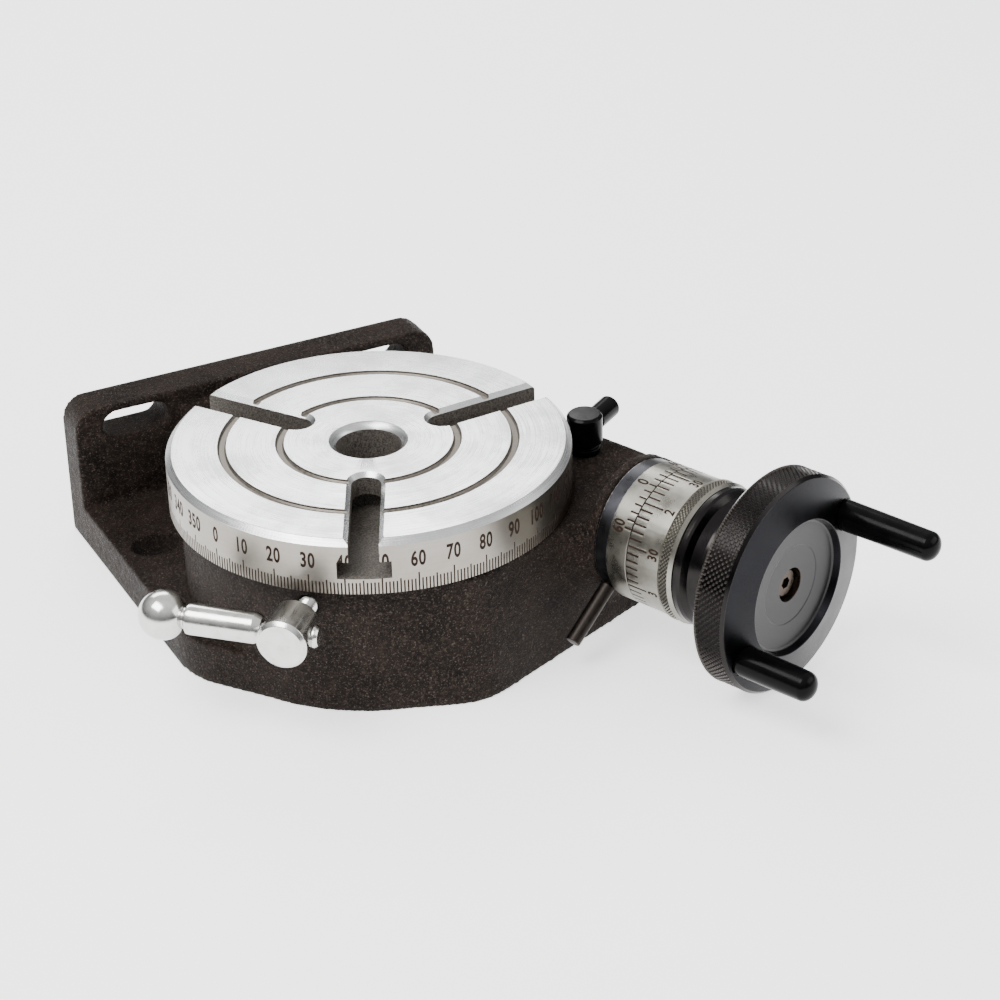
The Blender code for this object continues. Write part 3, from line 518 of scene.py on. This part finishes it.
def engraved_ring(name, profile, marks, line, edge_z, direction, radius, mats, matrix, base_count,
                  colour=None):
    """A ring with V-cut lines that run from edge_z along direction (+1 or -1), up to their lengths.

    line is (width, depth). None in the profile stands for the engraved outer face. mats[1] fills
    the lines, and colour(point, next point) picks the other bands' materials.
    """
    width, depth = line
    end_slope, slack = 0.12 * MM, 0.05 * MM
    columns, lengths = engraved_columns(base_count, marks, width / radius)
    stops = sorted({round(length, 7) for _, length in marks})
    levels = []
    for stop in stops:
        levels += [edge_z + direction * (stop - end_slope), edge_z + direction * stop]
    first = profile.index(None)
    falling = profile[first - 1][1] > profile[(first + 1) % len(profile)][1]
    levels = sorted([edge_z, *levels], reverse=falling)
    outer = [(radius, z) for z in levels]
    rows = []
    for point in profile:
        rows += outer if point is None else [point]
    outer_rows = range(first, first + len(outer))

    def cut_here(i, k, z):
        if k not in outer_rows or lengths[i] is None:
            return False
        run = (z - edge_z) * direction
        return run < lengths[i] - slack

    def shape(i, k, r):
        return r - depth if cut_here(i, k, rows[k][1]) else r

    def paint(i, k):
        n, m = len(columns), len(rows)
        near = [(a, b) for a in (i, (i + 1) % n) for b in (k, (k + 1) % m)]
        if any(cut_here(a, b, rows[b][1]) for a, b in near):
            return 1
        return colour(rows[k], rows[(k + 1) % m]) if colour else 0

    return solid_from_grid(name, columns, rows, shape, mats, matrix, paint)


def numeral(text, height, width_ratio, matrix, radius, angle, z, up, name):
    """A number wrapped on a cylinder about Z, as a filled engraving that stands a hair proud.

    up is +1 if the number's top points to +Z, or -1 if it points to -Z.
    """
    cap_height, stroke = 0.72, 0.038        # of the font's size, and of the number's height
    proud, sunk = 0.02 * MM, -0.25 * MM
    curve = bpy.data.curves.new(name, "FONT")
    curve.body = text
    curve.size = height / cap_height
    curve.align_x = "CENTER"
    curve.align_y = "CENTER"
    curve.space_character = 1.12
    curve.resolution_u = 5
    curve.offset = stroke * height
    curve.extrude = 0.1
    obj = bpy.data.objects.new(name, curve)
    bpy.context.scene.collection.objects.link(obj)
    depsgraph = bpy.context.evaluated_depsgraph_get()
    mesh = bpy.data.meshes.new_from_object(obj.evaluated_get(depsgraph))
    bpy.data.objects.remove(obj)
    xs = [v.co.x for v in mesh.vertices]
    ys = [v.co.y for v in mesh.vertices]
    mid_x, mid_y = (min(xs) + max(xs)) / 2, (min(ys) + max(ys)) / 2
    bm = bmesh.new()
    bm.from_mesh(mesh)
    bmesh.ops.remove_doubles(bm, verts=bm.verts, dist=1e-7)
    for v in bm.verts:
        across = (v.co.x - mid_x) * width_ratio
        rise = v.co.y - mid_y
        r = radius + (proud if v.co.z > 0 else sunk)
        turn = angle + up * across / radius
        v.co = Vector((r * math.cos(turn), r * math.sin(turn), z + up * rise))
    bm.transform(matrix)
    return bm


def join_numerals(name, bms, mats):
    """One piece from many numbers."""
    target = bmesh.new()
    scratch = bpy.data.meshes.new(name)
    for bm in bms:
        bm.to_mesh(scratch)
        bm.free()
        target.from_mesh(scratch)
    bpy.data.meshes.remove(scratch)
    return finish_mesh(name, target, mats)


# ---------------------------------------------------------------- table

TABLE_R = 55.0 * MM
RIM_Z = 38.0 * MM
TOP_Z = 53.8 * MM
SLOT_ANGLES = [math.radians(a) for a in (-116.2, 3.8, 123.8)]
SCALE_ZERO = math.radians(-161.5)       # where the degree scale starts
SCALE_LINE = (0.40 * MM, 0.14 * MM)     # width and depth
GROOVES = (24.1 * MM, 39.7 * MM)        # radii of the two turned rings
NUMERAL_Z = RIM_Z + 9.6 * MM
NUMERAL_H = 4.4 * MM


def slot_outline(half, z):
    """A slot of this half width, from inside the table out past its rim."""
    return at_height([(70 * MM, -half), (70 * MM, half)] + arc(23.1 * MM, 0, half, 90, 270, 20), z)


def slot_cutters(name):
    """The chamfered throat and the foot of each tee slot."""
    cutters = []
    throat, mouth, tee = 4.0 * MM, 5.2 * MM, 7.1 * MM       # half widths
    tee_low, tee_high = RIM_Z + 4.6 * MM, RIM_Z + 9.5 * MM
    throat_low = RIM_Z + 8.5 * MM                           # just inside the foot
    drop = mouth - throat
    for i, angle in enumerate(SLOT_ANGLES, 1):
        turn = FRAMES["table"] @ Matrix.Rotation(angle, 4, "Z")
        levels = [(throat, throat_low), (throat, TOP_Z - drop), (mouth, TOP_Z),
                  (mouth + MM, TOP_Z + MM)]
        upper = loft(f"{name}_throat_{i}", [slot_outline(half, z) for half, z in levels],
                     (MATS["slot"], MATS["table"]))
        foot = [slot_outline(tee, z) for z in (tee_low, tee_high)]
        lower = loft(f"{name}_foot_{i}", foot, (MATS["slot"],))
        for cutter in (upper, lower):
            cutter.data.transform(turn)
            cutters.append(cutter)
    return cutters


def table_profile():
    """Points below and above the rim's scale. None marks the scale itself."""
    chamfer = 1.6 * MM
    inner = in_mm([(7.65, 2.5), (14.6, 2.5), (14.7, 2.6), (14.7, 35.1), (22.0, 35.1), (22.0, 40.5),
                   (39.6, 40.5), (39.6, 37.8), (41.2, 37.8), (41.2, 40.5), (51.5, 40.5),
                   (51.5, 38.0), (54.8, 38.0), (55.0, 38.15)])
    section = ((1.2, 0), (1.1, 0.5), (0.7, 0.9), (-0.7, 0.9), (-1.1, 0.5), (-1.2, 0))
    groove = [(GROOVES[1] + side * MM, TOP_Z - deep * MM) for side, deep in section]
    inner_groove = [(r - GROOVES[1] + GROOVES[0], z) for r, z in groove]
    top = [(TABLE_R, TOP_Z - chamfer - 0.1 * MM), (TABLE_R - 0.12 * MM, TOP_Z - chamfer),
           (TABLE_R - chamfer + 0.1 * MM, TOP_Z - 0.12 * MM),
           (TABLE_R - chamfer - 0.15 * MM, TOP_Z)]
    bore = [(10.9 * MM, TOP_Z), (10.6 * MM, TOP_Z - 0.15 * MM), (9.0 * MM, TOP_Z - 1.75 * MM),
            (8.85 * MM, TOP_Z - 2.1 * MM)]
    return [None] + (top + groove + inner_groove + bore + inner)[::-1]


def degree_marks():
    """A line at each degree, longer at the fives and longest at the tens."""
    marks = []
    for degree in range(360):
        length = 5.0 if degree % 10 == 0 else 3.9 if degree % 5 == 0 else 3.2
        marks.append((SCALE_ZERO + math.radians(degree), length * MM))
    return marks


def make_table():
    """The slotted table with its degree scale and numbers."""
    mats = [MATS[key] for key in ("table", "engraving", "slot", "groove", "rim")]
    top, bore, groove, rim = 0, 2, 3, 4
    groove_half, bore_r = 1.25 * MM, 9.4 * MM
    rim_r, rim_high = TABLE_R - 0.3 * MM, TOP_Z - 1.7 * MM
    scale_low = RIM_Z + 0.35 * MM

    def colour(a, b):
        middle, height = (a[0] + b[0]) / 2, (a[1] + b[1]) / 2
        sunk = TOP_Z - MM < height < TOP_Z - 0.01 * MM
        # the sunk rings, sides and floor, get the dark groove steel: painted shade
        if sunk and min(abs(middle - r) for r in GROOVES) < groove_half:
            return groove
        # the side below the chamfer takes the darker rim steel: painted shade
        if middle > rim_r and height < rim_high:
            return rim
        return bore if middle < bore_r else top

    table = engraved_ring("table_plate", table_profile(), degree_marks(), SCALE_LINE, scale_low,
                          1, TABLE_R, mats, FRAMES["table"], 180, colour)
    cut(table, slot_cutters("table"))
    shade(table)
    place(table, "table", "ground_steel", "table")
    numbers = []
    for degree in range(0, 360, 10):
        numbers.append(numeral(str(degree), NUMERAL_H, 0.62, FRAMES["table"], TABLE_R,
                               SCALE_ZERO + math.radians(degree), NUMERAL_Z, 1, f"degree_{degree}"))
    scale = join_numerals("table_numerals", numbers, [MATS["engraving"]])
    cut(scale, slot_cutters("numerals"))
    place(scale, "table", "ground_steel")


# ---------------------------------------------------------------- dials

DIAL_R = 19.4 * MM
DIAL_ZERO = math.radians(342.0)
VERNIER_ZERO = math.radians(109.0)
VERNIER_STEP = 6.8                      # degrees between the vernier's marks
DIAL_LINE = (0.50 * MM, 0.14 * MM)      # width and depth


def knurled_ring(name, radius, span, inner, cells, depth, bevels, mats, matrix):
    """A ring with a diamond knurl on its outer face: two crossing sets of V grooves.

    span is (low, high), cells the diamonds (round, across), and bevels the plain (axial, radial)
    edges at the low and high ends. mats are for the diamonds, the grooves and the edges; the
    grooves' material is the darker one, painted shade in the grooves.
    """
    diamond, groove, edge = range(3)
    per_cell = 4
    flat_top = 1.15         # the diamonds' tips are cut off by this factor
    groove_sum = 1.7        # a face whose corners rise by less than this together is in a groove
    low, high = span
    count = cells[0] * per_cell
    rows = cells[1] * per_cell
    columns = [math.tau * i / count for i in range(count)]
    bottom, top = low + bevels[0][0], high - bevels[1][0]
    heights = [top - (top - bottom) * k / rows for k in range(rows + 1)]
    profile = [(inner, high), (radius - bevels[1][1], high)] + [(radius, z) for z in heights]
    profile += [(radius - bevels[0][1], low), (inner, low)]
    first, last = 2, 2 + rows

    def wave(x):
        """0 at whole numbers and 1 halfway between them."""
        return 1 - abs((x % 1.0) * 2 - 1)

    def rise(i, k):
        if not first < k < last:
            return 1.0
        u, v = i / per_cell, (k - first) / per_cell
        return min(1.0, flat_top * min(wave(u + v), wave(u - v)))

    def shape(i, k, r):
        return r - depth * (1 - rise(i, k))

    def paint(i, k):
        if not first <= k < last:
            return edge
        near = [rise(a % count, b) for a in (i, i + 1) for b in (k, k + 1)]
        # groove faces take the darker second material: painted shade in the knurl's grooves
        return groove if sum(near) < groove_sum else diamond

    return solid_from_grid(name, columns, profile, shape, mats, matrix, paint, sharp=18.0)


def make_vernier():
    """The ring of 13 marks on the sleeve that the dial is read against."""
    worm = FRAMES["worm"]
    low, high, bore = 65.4 * MM, 71.9 * MM, 13.3 * MM
    mark, number_z = 2.2 * MM, 67.6 * MM
    marks = [(VERNIER_ZERO + math.radians(VERNIER_STEP * i), mark) for i in range(-6, 7)]
    rows = [(bore, high), (DIAL_R - 0.12 * MM, high), None, (DIAL_R, low + 0.12 * MM),
            (DIAL_R - 0.12 * MM, low), (bore, low)]
    vernier = engraved_ring("vernier_body", rows, marks, DIAL_LINE, high - 0.1 * MM, -1, DIAL_R,
                            [MATS["dial"], MATS["engraving"]], worm, 144)
    place(vernier, "sleeve", "satin_steel", "vernier_ring")
    numbers = []
    for text, i in (("60", -6), ("0", 0), ("60", 6)):
        angle = VERNIER_ZERO + math.radians(VERNIER_STEP * i)
        numbers.append(numeral(text, 3.4 * MM, 0.70, worm, DIAL_R, angle, number_z, -1,
                               f"vernier_number_{i}"))
    place(join_numerals("vernier_numerals", numbers, [MATS["engraving"]]), "sleeve", "satin_steel")


def make_dial():
    """The graduated dial, with 60 marks for the 5 degrees of one turn, and its knurled edge."""
    worm = FRAMES["worm"]
    low, high, bore = 72.2 * MM, 82.8 * MM, 9.0 * MM
    long_mark, short_mark, number_z = 6.1 * MM, 3.8 * MM, 80.4 * MM
    marks = []
    for i in range(60):
        mark = short_mark if i % 6 else long_mark
        marks.append((DIAL_ZERO + math.radians(6 * i), mark))
    rows = [(bore, high), (DIAL_R - 0.05 * MM, high), (DIAL_R, high - 0.3 * MM), None,
            (DIAL_R - 0.12 * MM, low), (bore, low)]
    dial = engraved_ring("dial_body", rows, marks, DIAL_LINE, low + 0.1 * MM, 1, DIAL_R,
                         [MATS["dial"], MATS["engraving"]], worm, 144)
    place(dial, "dial", "satin_steel", "graduated_dial")
    numbers = []
    for i in range(10):
        text = "30" if i % 2 else str(i // 2)
        angle = DIAL_ZERO + math.radians(36 * i)
        numbers.append(numeral(text, 3.0 * MM, 0.72, worm, DIAL_R, angle, number_z, -1,
                               f"dial_number_{i}"))
    place(join_numerals("dial_numerals", numbers, [MATS["engraving"]]), "dial", "satin_steel")
    bevels = ((0.2 * MM, 0.2 * MM), (1.0 * MM, 0.7 * MM))
    # the dial knurl's grooves get the dark painted-shade material, its diamonds and edges the
    # dial's steel
    knurl = knurled_ring("dial_knurl", 19.9 * MM, (high, 87.1 * MM), bore, (100, 3), 0.60 * MM,
                         bevels, [MATS["dial"], MATS["groove_painted_shade"], MATS["dial"]], worm)
    place(knurl, "dial", "satin_steel")


# ---------------------------------------------------------------- sleeve and handwheel

LEVER_ANGLE = math.radians(215)
WHEEL_BACK, WHEEL_FRONT = 102.3, 112.1      # the rim's two sides along the worm's axis, in mm
HANDLE_ORBIT = 24.7 * MM
# Each handle's angle round the worm's axis in degrees, and where its tip is along it in mm.
HANDLES = ((29.5, 142.5), (209.5, 135.2))


def sideways(station, angle):
    """Turns Z outwards at this angle round the frame's axis, from a station along it."""
    return (Matrix.Translation((0, 0, station)) @ Matrix.Rotation(angle, 4, "Z")
            @ Matrix.Rotation(math.pi / 2, 4, "Y"))


def make_sleeve_parts():
    """The flange of the eccentric sleeve and the lever that turns it."""
    worm = FRAMES["worm"]
    profile = in_mm([(0.0, 65.1), (18.9, 65.1), (18.9, 61.2), (0.0, 61.2)])
    flange = lathe("sleeve_flange", profile, [MATS["flange"]], worm, 144, 0.2 * MM)
    place(flange, "sleeve", "turned_steel")
    profile = in_mm([(0.0, 37.8), (2.1, 37.8), (2.1, 19.3), (1.3, 19.2), (1.3, 14.4), (0.0, 14.4)])
    turn = sideways(63.15 * MM, LEVER_ANGLE)
    lever = lathe("lever_rod", profile, [MATS["lever"]], worm @ turn, 48, 0.45 * MM)
    place(lever, "sleeve", "black_oxide", "engagement_lever")


def make_handwheel():
    """The turned wheel with its crowned face and shallow recess, and its knurled rim."""
    worm = FRAMES["worm"]
    face = [(4.7, 111.5), (11.0, 111.6), (11.3, 111.75), (17.6, WHEEL_FRONT), (18.2, 112.3),
            (18.9, 114.2), (29.5, WHEEL_FRONT)]
    back = [(29.5, WHEEL_BACK), (25.0, WHEEL_BACK), (23.0, 104.4), (17.4, 104.4), (16.4, 101.0),
            (15.9, 97.5), (16.3, 93.5), (17.5, 91.0), (18.9, 89.6), (19.3, 88.8), (19.3, 87.4),
            (8.7, 87.4), (8.7, 73.5), (3.7, 73.5), (3.7, 108.3), (4.7, 108.3)]
    mats = [MATS[key] for key in ("oxide", "oxide_face", "recess", "bore")]
    hub, crown, recess, bore = range(4)
    bore_r, recess_r = 4.8 * MM, 18.5 * MM

    def paint(radius, z):
        if z > 110.5 * MM and bore_r < radius < recess_r:
            return recess
        if z > 111 * MM and radius > recess_r:
            return crown
        return bore if radius < bore_r else hub

    wheel = lathe("handwheel_body", in_mm(face + back), mats, worm, 160, 0.25 * MM, closed=True,
                  paint=paint)
    cut(wheel, [handle_seat(angle) for angle, _ in HANDLES])
    shade(wheel)
    place(wheel, "worm", "black_oxide", "handwheel")
    bevel = (0.8 * MM, 0.8 * MM)
    # black oxide in the grooves, darker than the knurl's diamonds: painted shade in the grooves
    mats = [MATS["knurl"], MATS["oxide"], MATS["oxide"]]
    span = (WHEEL_BACK * MM, WHEEL_FRONT * MM)
    rim = knurled_ring("handwheel_knurl", 30.3 * MM, span, 28.4 * MM, (112, 5), 0.70 * MM,
                       (bevel, bevel), mats, worm)
    place(rim, "worm", "black_oxide")


def handle_spot(angle):
    """The worm's frame, moved out to a handle's axis."""
    a = math.radians(angle)
    out = (HANDLE_ORBIT * math.cos(a), HANDLE_ORBIT * math.sin(a), 0.0)
    return FRAMES["worm"] @ Matrix.Translation(out)


def handle_seat(angle):
    """Cuts the flat that a handle stands on."""
    seat_r, above = 4.4 * MM, 118
    circle = arc(0, 0, seat_r, 0, 360, 48)[:-1]
    seat = loft("seat", [at_height(circle, z * MM) for z in (WHEEL_FRONT, above)],
                (MATS["oxide"],))
    seat.data.transform(handle_spot(angle))
    return seat


def make_handles():
    """Two round-nosed grips, each on a spigot in the wheel."""
    nose = [math.pi / 2 * i / 8 for i in range(9)]
    nose_r, nose_long = 4.05, 3.0
    for index, (angle, tip) in enumerate(HANDLES, 1):
        profile = []
        for t in nose:
            z = tip - 0.06 - nose_long * (1 - math.cos(t))
            profile.append((nose_r * MM * math.sin(t), z * MM))
        profile += in_mm([(4.25, 114.0), (4.0, 112.4), (2.3, 112.35), (2.3, 105.2), (0.0, 105.2)])
        handle = lathe(f"handle_grip_{index}", profile, [MATS["handle"]], handle_spot(angle), 64,
                       0.15 * MM)
        place(handle, "worm", "black_handle", f"handle_{index}")


# ---------------------------------------------------------------- clamps

def make_lock():
    """The upright knob that locks the sleeve, and its side handle."""
    lock = FRAMES["lock"]
    profile = in_mm([(0, 50.6), (4.3, 50.6), (5.0, 49.9), (5.0, 42.4), (4.3, 41.7), (3.6, 41.4),
                     (3.6, 40.8), (4.3, 40.6), (4.3, 39.0), (3.2, 39.0), (3.2, 31.4), (0, 31.4)])
    knob = lathe("lock_knob", profile, [MATS["handle"]], lock, 64, 0.35 * MM)
    place(knob, "sleeve_lock", "black_handle", "sleeve_lock_screw")
    turn = sideways(46 * MM, math.radians(33.5))
    profile = in_mm([(0, 15.2), (2.5, 15.2), (3.2, 14.5), (3.2, 5.4), (1.6, 5.4), (1.6, 1.9),
                     (0, 1.9)])
    handle = lathe("lock_handle", profile, [MATS["handle"]], lock @ turn, 48, 0.4 * MM)
    place(handle, "sleeve_lock", "black_handle", "sleeve_lock_handle")


def thread_profile(radius, low, high):
    """A profile with rings for a coarse thread, in place of its helix."""
    pitch = 0.8 * MM
    points = [(0.0, high), (radius - 0.4 * MM, high), (radius, high - 0.4 * MM)]
    z = high - pitch
    while z > low + pitch:
        points += [(radius, z), (radius - 0.45 * MM, z - pitch * 0.5), (radius, z - pitch)]
        z -= pitch * 1.05
    return points + [(radius, low), (0.0, low)]


def make_clamp():
    """The table's clamp: a threaded stud, its hub, and a cross arm with a ball end."""
    clamp = FRAMES["clamp"]
    plated = [MATS["plated"]]
    profile = thread_profile(2.6 * MM, 47.6 * MM, 62.6 * MM)
    stud = lathe("clamp_stud", profile, plated, clamp, 48, 0.03 * MM)
    place(stud, "table_clamp", "plated_steel", "clamp_screw")
    profile = in_mm([(0.0, 72.5), (5.9, 72.5), (6.9, 71.5), (6.9, 60.6), (5.9, 59.6), (0.0, 59.6)])
    hub = lathe("clamp_hub_body", profile, plated, clamp, 96, 0.35 * MM)
    place(hub, "table_clamp", "plated_steel", "clamp_hub")
    ball_r, ball_x = 6.65, 34.75
    sweep = [math.radians(8 * i) for i in range(20)]
    ball = [(ball_r * math.sin(t), ball_x + ball_r * math.cos(t)) for t in sweep]
    neck = [(2.9, 28.9), (3.0, 28.2), (4.1, 27.6), (4.2, 26.6), (4.2, 9.2), (3.2, 7.2), (1.8, 7.2),
            (1.8, -6.6), (3.0, -6.8), (3.0, -7.4), (2.3, -8.2), (0.0, -8.2)]
    turn = Matrix.Translation((0, 0, 65.6 * MM)) @ Matrix.Rotation(-math.pi / 2, 4, "Y")
    arm = lathe("clamp_arm_body", in_mm(ball + neck), plated, clamp @ turn, 64, 0.2 * MM)
    place(arm, "table_clamp", "plated_steel", "clamp_arm")


# ---------------------------------------------------------------- base casting

VOXEL = 0.6 * MM
# The skin's roughness as noise: how many waves to a metre, and how high.
GRAIN = ((450, 0.09), (1000, 0.07), (70, 0.14))
CALM = 1.5 * MM         # the skin grows smooth over this distance from the machined faces


def make_base():
    """The casting: the CAD solid rounded off, with a sand-cast skin except where machined."""
    source = frame["nodes"]["base_casting"]
    base = bpy.data.objects.new("base_body", source.data.copy())
    bpy.context.scene.collection.objects.link(base)
    remesh = base.modifiers.new("remesh", "REMESH")
    remesh.mode = "VOXEL"
    remesh.voxel_size = VOXEL
    bake(base)
    back = max(v.co.y for v in source.data.vertices)
    feet = [v.index for v in base.data.vertices if v.co.z < VOXEL / 2]
    backs = [v.index for v in base.data.vertices if v.co.y > back - VOXEL / 2]
    cast = base.vertex_groups.new(name="cast")
    rough = [v.index for v in base.data.vertices if is_cast(v.co)]
    cast.add(rough, 1.0, "REPLACE")
    smooth = base.modifiers.new("smooth", "SMOOTH")
    smooth.factor = 0.5
    smooth.iterations = 9
    smooth.vertex_group = cast.name
    bake(base)
    mesh = base.data
    normals = [v.normal.copy() for v in mesh.vertices]
    machined = set(feet) | set(backs)
    for index in rough:
        if index not in machined:
            v = mesh.vertices[index]
            grain = sum(noise.noise(v.co * waves) * high for waves, high in GRAIN)
            edge = min(1.0, v.co.z / CALM, (back - v.co.y) / CALM)
            v.co += normals[index] * grain * MM * max(0.0, edge)
    for index in feet:
        mesh.vertices[index].co.z = 0.0
    for index in backs:
        mesh.vertices[index].co.y = back
    mesh.materials.clear()
    mesh.materials.append(MATS["casting"])
    mesh.shade_smooth()
    place(base, "base", "casting_paint", "base_casting")


def is_cast(point):
    """True for the rough skin, False for the table's way, the bores and the boss's turned end."""
    way_r, way_z, bore_r = 51.6 * MM, 37.2 * MM, 39 * MM
    boss_r, boss_low, sleeve_r = 20 * MM, 60.2 * MM, 8.6 * MM
    flat = (point - TABLE_CENTRE).xy.length
    sleeve = FRAMES["sleeve"].inverted() @ point
    worm = FRAMES["worm"].inverted() @ point
    on_way = flat < way_r and point.z > way_z
    on_boss = worm.z > boss_low and worm.xy.length < boss_r
    return not (on_way or on_boss or flat < bore_r or sleeve.xy.length < sleeve_r)


# ---------------------------------------------------------------- the rest

def finish_inner_nodes():
    """The remaining pieces: the CAD solid with broken edges, smooth rounds and its finish."""
    kinds = {"bronze": "bronze", "turned_steel": "steel", "black_oxide": "oxide",
             "satin_steel": "dial"}
    shown = {piece.get("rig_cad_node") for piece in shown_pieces()}
    for part in frame["record"]["subparts"]:
        name, slot = part["node"], part["material_slot"]
        if name not in shown:
            continue
        source = frame["nodes"][name]
        obj = bpy.data.objects.new(f"{name}_finished", source.data.copy())
        bpy.context.scene.collection.objects.link(obj)
        obj.data.materials.clear()
        obj.data.materials.append(MATS["bore" if name == "handwheel_screw" else kinds[slot]])
        bevel = obj.modifiers.new("edges", "BEVEL")
        bevel.limit_method = "ANGLE"
        bevel.angle_limit = math.radians(35)
        bevel.width = 0.08 * MM
        bevel.segments = 2
        shade(obj)
        place(obj, source["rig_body"], slot, name)


def make_stage():
    """A pale floor, and a sky that is dim near the horizon and bright above."""
    bm = bmesh.new()
    bmesh.ops.create_grid(bm, x_segments=1, y_segments=1, size=6.0)
    floor = finish_mesh("floor", bm, [])
    n = Nodes("pale_floor", 0.0, 0.9)
    cloud = n.noise(n.coords(), 3.0, 2.0, 0.5)
    n.set("Base Color", n.ramp(cloud, (0.90, 0.90, 0.90), (0.92, 0.92, 0.92)))
    n.set("Emission Color", (1.0, 1.0, 1.0, 1.0))
    n.set("Emission Strength", 1.3)
    floor.data.materials.append(n.mat)
    floor.location.z = -0.0001
    world = bpy.data.worlds.new("studio")
    bpy.context.scene.world = world
    world.use_nodes = True
    tree = world.node_tree
    sky = tree.nodes["Background"]
    sky.inputs[0].default_value = (1.0, 1.0, 1.0, 1.0)
    split = tree.nodes.new("ShaderNodeSeparateXYZ")
    tree.links.new(tree.nodes.new("ShaderNodeTexCoord").outputs["Generated"], split.inputs[0])
    rise = tree.nodes.new("ShaderNodeMapRange")
    for key, value in (("From Min", 0.10), ("From Max", 0.75), ("To Min", 0.10), ("To Max", 1.15)):
        rise.inputs[key].default_value = value
    tree.links.new(split.outputs[2], rise.inputs["Value"])
    tree.links.new(rise.outputs["Result"], sky.inputs[1])


def area_light(name, size, power, spot, target):
    """A soft light at spot that faces target."""
    light = bpy.data.lights.new(name, "AREA")
    light.shape = "RECTANGLE"
    light.size, light.size_y = size
    light.energy = power
    obj = bpy.data.objects.new(name, light)
    bpy.context.scene.collection.objects.link(obj)
    obj.location = spot
    obj.rotation_euler = (Vector(target) - Vector(spot)).to_track_quat("-Z", "Y").to_euler()


def make_lights():
    """A large light over the front left, a weaker one on the right and one behind."""
    aim = (0.0, 0.0, 0.03)
    area_light("key", (0.6, 0.4), 9.0, (-0.45, -0.10, 0.75), aim)
    area_light("fill", (0.8, 0.5), 4.0, (0.75, -0.55, 0.45), aim)
    area_light("rim", (0.7, 0.3), 5.0, (0.10, 0.75, 0.60), aim)


def make_camera():
    """A long lens from the front left and above, placed from the foot of the table's axis."""
    data = bpy.data.cameras.new("camera")
    camera = bpy.data.objects.new("camera", data)
    bpy.context.scene.collection.objects.link(camera)
    azimuth, elevation, roll = (math.radians(a) for a in (-25.54, 29.70, -1.727))
    level = math.cos(elevation)
    back = Vector((math.sin(azimuth) * level, -math.cos(azimuth) * level, math.sin(elevation)))
    right = UP.cross(back).normalized()
    up = back.cross(right)
    turn = Matrix.Rotation(roll, 3, back)
    spot = TABLE_CENTRE + Vector((-279.12, -647.39, 431.33)) * MM
    axes = Matrix((turn @ right, turn @ up, back)).transposed()
    camera.matrix_world = Matrix.Translation(spot) @ axes.to_4x4()
    data.sensor_width = 36.0
    data.lens = 106.4
    data.shift_x = 0.0283
    data.shift_y = 0.0141
    data.clip_start = 0.02
    bpy.context.scene.camera = camera


make_base()
make_table()
make_vernier()
make_dial()
make_sleeve_parts()
make_handwheel()
make_handles()
make_lock()
make_clamp()
finish_inner_nodes()
make_stage()
make_lights()
make_camera()
